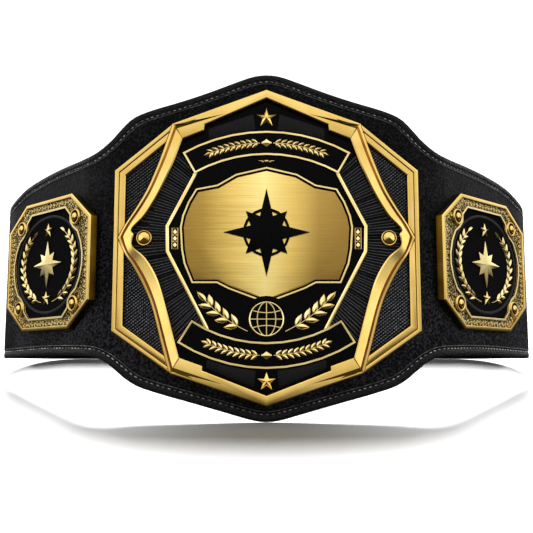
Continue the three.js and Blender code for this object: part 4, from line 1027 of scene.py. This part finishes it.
# Rivets and snaps: spun heads with a ring and a groove coloured dark as painted shade, a post through the
# leather and a cap behind it
studs = {
    "steps": 40, "post": 2.2, "capRadius": 5.0, "capDepth": 1.6, "capEdge": 0.5, "capBevel": (1.0, 1.45),
    "behind": 0.3, "grooveFloor": 0.3, "snapSeat": 0.3,
    # radius and height of each corner of a head, from its middle outwards
    "main": [(0, 3.7), (0.4, 3.6), (4.7, 1.7), (4.85, 0.8), (5.25, 0.8), (5.4, 1.6), (5.8, 2.05), (6.3, 2.1),
             (6.75, 1.7), (7.0, 1.0), (7.0, 0)],
    "side": [(0, 3.6), (1.3, 3.45), (2.6, 2.95), (3.5, 2.2), (3.95, 1.3), (4.05, 0.4), (5.15, 0.4),
             (5.3, 1.6), (5.8, 2.1), (6.5, 2.1), (7.0, 1.6), (7.2, 0.8), (7.2, 0)],
    "snap": [(0, 2.5), (1.6, 2.45), (2.3, 2.3), (2.55, 1.95), (2.95, 1.95), (3.2, 2.4), (4.4, 2.25),
             (5.6, 1.8), (6.5, 1.2), (7, 0.6), (7, 0)],
    # inner and outer radius of the groove coloured dark as painted shade
    "groove": {"main": (4.72, 5.38), "side": (3.7, 5.28), "snap": (2.45, 3.05)},
}


def studPiece(name, kind, node, place, headLow, leather):
    local = [place.inverted() @ v.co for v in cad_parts[node].data.vertices]
    x, y = ((min(p[k] for p in local) + max(p[k] for p in local)) / 2 for k in (0, 1))
    capHigh, capRadius = -leather - studs["behind"], studs["capRadius"]
    inward, down = studs["capBevel"]
    profile = [(r, headLow + h) for r, h in studs[kind]]
    profile += [(studs["post"], headLow), (studs["post"], capHigh), (capRadius, capHigh)]
    profile += [(capRadius, capHigh - studs["capEdge"]), (capRadius - inward, capHigh - down)]
    profile += [(0, capHigh - studs["capDepth"])]
    bm = bmesh.new()
    verts = [bm.verts.new((r, 0, h)) for r, h in profile]
    edges = [bm.edges.new(pair) for pair in zip(verts, verts[1:])]
    bmesh.ops.spin(
        bm, geom=verts + edges, cent=(0, 0, 0), axis=(0, 0, 1), angle=2 * math.pi, steps=studs["steps"],
        use_merge=True, use_duplicate=False,
    )
    bmesh.ops.remove_doubles(bm, verts=bm.verts[:], dist=1e-3)
    inner, outer = studs["groove"][kind]
    # painted shade: the groove's faces take the dark brown finish
    for face in bm.faces:
        middle = face.calc_center_median()
        if middle.z > headLow + studs["grooveFloor"] and inner < middle.xy.length < outer:
            face.material_index = 1
    bmesh.ops.translate(bm, vec=(x, y, 0), verts=bm.verts[:])
    finishPiece(name, bm, [mirrorFinish, recessShadeFinish], [node], 32, place)


for node in sorted(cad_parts):
    if node.startswith("main_rivet"):
        studPiece("stud_" + node, "main", node, onMain, levels["onInlay"], strap["thickness"])
    elif node.startswith("side_rivet"):
        studPiece("stud_" + node, "side", node, placeOf(node), levels["onSideLedge"], strap["thickness"])
    elif node.startswith("tail_snap"):
        behind = upright @ Matrix.Translation((0, strap["depth"], 0)) @ Matrix.Rotation(-math.pi / 2, 4, "X")
        both = 2 * strap["thickness"] + strap["gap"]
        studPiece("stud_" + node, "snap", node, behind, studs["snapSeat"], both)
print("rivets and snaps ready")


# Small scrolls: curls that thin out towards their middle, used wherever the plates are chased
curlShape = {"steps": 10, "windIn": 0.82, "sides": 6, "flatten": 0.9, "taper": 0.6}


def curl(bm, x, y, low, radius, start, hand, turns=0.95, thick=0.45):
    path = []
    for k in range(curlShape["steps"] + 1):
        t = k / curlShape["steps"]
        a = start + hand * 2 * math.pi * turns * t
        reach = radius * (1 - curlShape["windIn"] * t)
        path.append(Vector((x + reach * math.cos(a), y + reach * math.sin(a), low)))
    tube(bm, path, thick, curlShape["sides"], curlShape["flatten"], curlShape["taper"])


def insetOutline(points, distance):
    # an outline that runs anticlockwise, moved inwards
    moved = []
    for i, here in enumerate(points):
        before = (here - points[i - 1]).normalized()
        after = (points[(i + 1) % len(points)] - here).normalized()
        bisector = Vector((-before.y - after.y, before.x + after.x)) / (1 + before.dot(after))
        moved.append(here + bisector * distance)
    return moved


ledge = {
    "cutWidth": 30.5, "cutHeight": 23.5, "inset": 6.4, "pitch": 4.7, "radius": 2.1, "clear": 8.2,
    "thick": 0.5, "lift": 0.12, "rivetX": 45.5, "rivetY": 38.1,
    "ovalX": 53.0, "ovalY": 44.0, "ovalThick": 1.5, "ovalSteps": 72,
}


def ledgeScrolls(side):
    # chased scrolls round the side plate's ledge, and the raised oval on its black field
    w, h = sidePlate["halfWidth"], sidePlate["halfHeight"]
    flatX, flatY = w - ledge["cutWidth"], h - ledge["cutHeight"]
    upper = [(w, flatY), (flatX, h), (-flatX, h), (-w, flatY)]
    ring = insetOutline([Vector(c) for c in upper] + [-Vector(c) for c in upper], ledge["inset"])
    rivets = [Vector((a * ledge["rivetX"], b * ledge["rivetY"])) for a in (-1, 1) for b in (-1, 1)]
    bm = bmesh.new()
    hand = 1
    for i, here in enumerate(ring):
        run = ring[(i + 1) % len(ring)] - here
        count = max(1, round(run.length / ledge["pitch"]))
        for k in range(count):
            place = here + run * (k / count)
            if min((place - r).length for r in rivets) < ledge["clear"]:
                continue
            hand = -hand
            start = math.atan2(run.y, run.x) + hand * math.pi / 2
            low = levels["sideLedge"] + ledge["lift"]
            curl(bm, place.x, place.y, low, ledge["radius"], start, hand, thick=ledge["thick"])
    name = sideName(side)
    finishPiece("ledge_scrolls_" + name, bm, [trimFinish], (), 40, onSide(side))

    bm = bmesh.new()
    oval = roundPath(0, levels["sideField"], ledge["ovalX"], ledge["ovalY"], wholeTurn(ledge["ovalSteps"]))
    tube(bm, oval, ledge["ovalThick"], 8, 0.8, closed=True)
    finishPiece("field_oval_" + name, bm, [ovalFinish], (), 40, onSide(side))


for side in (-1, 1):
    ledgeScrolls(side)
print("side scrolls ready")

# Lozenges and bosses on the two insets beside the centre plate, and the tiny scroll under the top banner
carving = {
    "insetX": 78.0, "insetY": 8.3, "height": 5.5, "frame": (2.5, 9.0), "frameThick": 0.42, "step": 5.6,
    "lozenge": (3.6, 5.0, 1.0), "lozengeRise": 0.4, "boss": (0.75, 0.75, 0.7), "bossX": 1.3,
    "topY": 76.4, "topBoss": (2.0, 1.0, 0.8), "curlX": 3.4, "curlRadius": 1.1, "twig": (4.2, 5.4, 6.8),
    "twigThick": 0.4, "twigUp": 0.2,
}


def smallBoss(bm, x, y, low, size):
    made = bmesh.ops.create_icosphere(bm, subdivisions=2, radius=1.0)["verts"]
    bmesh.ops.transform(bm, matrix=lying(x, y, low, 0.0, size), verts=made)


def lozenge(bm, x, y, z, size, radius=1.0):
    made = bmesh.ops.create_cone(bm, cap_ends=True, segments=4, radius1=radius, radius2=0.0, depth=1.0)
    bmesh.ops.transform(bm, matrix=lying(x, y, z, 0.0, size), verts=made["verts"])


def carvingPiece():
    bm = bmesh.new()
    for side in (-1, 1):
        x, y, low = side * carving["insetX"], carving["insetY"], carving["height"]
        halfWide, halfHigh = carving["frame"]
        corners = [(-halfWide, -halfHigh), (halfWide, -halfHigh), (halfWide, halfHigh), (-halfWide, halfHigh)]
        tube(bm, [Vector((x + a, y + b, low)) for a, b in corners], carving["frameThick"], 6, closed=True)
        for row in (-1, 0, 1):
            lozenge(bm, x, y + row * carving["step"], low + carving["lozengeRise"], carving["lozenge"], 0.5)
        for row in (-0.5, 0.5):
            for hand in (-1, 1):
                smallBoss(bm, x + hand * carving["bossX"], y + row * carving["step"], low, carving["boss"])
    y, low, thick = carving["topY"], levels["onInlay"], carving["twigThick"]
    smallBoss(bm, 0.0, y, low, carving["topBoss"])
    for side in (-1, 1):
        start = math.pi if side > 0 else 0.0
        curl(bm, side * carving["curlX"], y, low, carving["curlRadius"], start, side, 0.9, thick)
        twig = [Vector((side * x, y + carving["twigUp"], low)) for x in carving["twig"]]
        tube(bm, twig, thick, 6, 0.9, 0.4)
    finishPiece("small_scrolls", bm, [trimFinish], (), 40, onMain)


carvingPiece()

# Banner ornament: a lozenge with a leafy garland to each side
banners = {
    "top": {"middle": -42.95, "radius": 134.9, "half": 0.4204, "side": 1},
    "bottom": {"middle": 36.97, "radius": 127.8, "half": 0.4525, "side": -1},
    "start": 0.1, "reach": 0.93, "spread": math.radians(38), "leaf": (6.6, 2.7, 1.0), "stemRadius": 0.42,
    "places": [(i + 0.4) / 9.6 for i in range(9)], "end": 0.92,
    "lozenge": (4.6, 3.4, 1.1), "endBoss": (1.3, 1.3, 0.8), "bossPlace": 0.055,
}


def bannerGarland(name):
    arc = banners[name]
    low = levels["onBanner"]

    def place(share):
        a, r = arc["half"] * share, arc["radius"]
        return Vector((r * math.sin(a), arc["middle"] + arc["side"] * r * math.cos(a)))

    bm = bmesh.new()
    for hand in (-1, 1):
        def stem(t):
            return place(hand * (banners["start"] + (banners["reach"] - banners["start"]) * t))

        branch(bm, stem, banners["places"], low, banners)
    lozenge(bm, *place(0), low + banners["lozenge"][2] / 2, banners["lozenge"])
    for hand in (-1, 1):
        smallBoss(bm, *place(hand * banners["bossPlace"]), low, banners["endBoss"])
    replaced = ["banner_ornament_" + name]
    finishPiece("banner_garland_" + name, bm, [trimFinish], replaced, 24, onMain)


for name in ("top", "bottom"):
    bannerGarland(name)

# Thin bronze wedges in painted shade, laid where the chevrons dip into hollows beside the blades' heads
wedges = {
    "outlines": [
        [(76.0, 107.9), (68.2, 108.0), (60.5, 112.6)], [(76.2, -105.2), (68.4, -105.6), (60.7, -110.2)],
    ],
    "low": 8.4, "rise": 0.32,
}


def headWedges():
    bm = bmesh.new()
    for side in (-1, 1):
        for outline in wedges["outlines"]:
            face = bm.faces.new([bm.verts.new((side * x, y, wedges["low"])) for x, y in outline])
            lift(bm, face, wedges["rise"])
    finishPiece("head_wedges", bm, [shadeBronzeFinish], (), 30, onMain)


headWedges()

# Smooth raised panels beside the two stars, with three short ribs at their outer ends
starPanels = {
    "top": [(-50.4, 105.2), (-49.8, 95.2), (-35.0, 99.5), (-20.0, 102.4), (-9.5, 103.8), (-11.5, 118.4)],
    "bottom": [
        (-50.6, -101.2), (-49.8, -94.2), (-35.0, -98.6), (-20.0, -101.7), (-9.0, -103.1), (-10.5, -117.4),
    ],
    "rise": 1.1, "edge": 0.35, "ribs": (-47.6, -44.6, -41.6), "ribSize": (1.5, 7.0, 1.4), "ribEdge": 0.3,
    # the ribs follow the panel's slope, which starts at x = -49
    "ribStart": 49, "ribSlope": 0.35,
}


def starPanelPiece(name, outline, side):
    bm = bmesh.new()
    face = bm.faces.new([bm.verts.new((-side * x, y, levels["seat"])) for x, y in outline])
    lift(bm, face, starPanels["rise"])
    bmesh.ops.recalc_face_normals(bm, faces=bm.faces[:])
    high = levels["seat"] + starPanels["rise"]
    upperEdges = [e for e in bm.edges if min(v.co.z for v in e.verts) > levels["seat"] + 0.1]
    soften(bm, upperEdges, starPanels["edge"])
    middle = sum(y for x, y in outline[:2]) / 2
    up = 1 if middle > 0 else -1
    for x in starPanels["ribs"]:
        y = middle + starPanels["ribSlope"] * abs(x + starPanels["ribStart"]) * up
        made = bmesh.ops.create_cube(bm, size=1.0)["verts"]
        bmesh.ops.transform(bm, matrix=lying(-side * x, y, high, 0, starPanels["ribSize"]), verts=made)
        soften(bm, list({e for v in made for e in v.link_edges}), starPanels["ribEdge"])
    finishPiece(name, bm, [panelFinish], (), 30, onMain)


for side in (-1, 1):
    for end in ("top", "bottom"):
        starPanelPiece("star_panel_" + end + "_" + sideName(side), starPanels[end], side)
print("small ornaments ready")
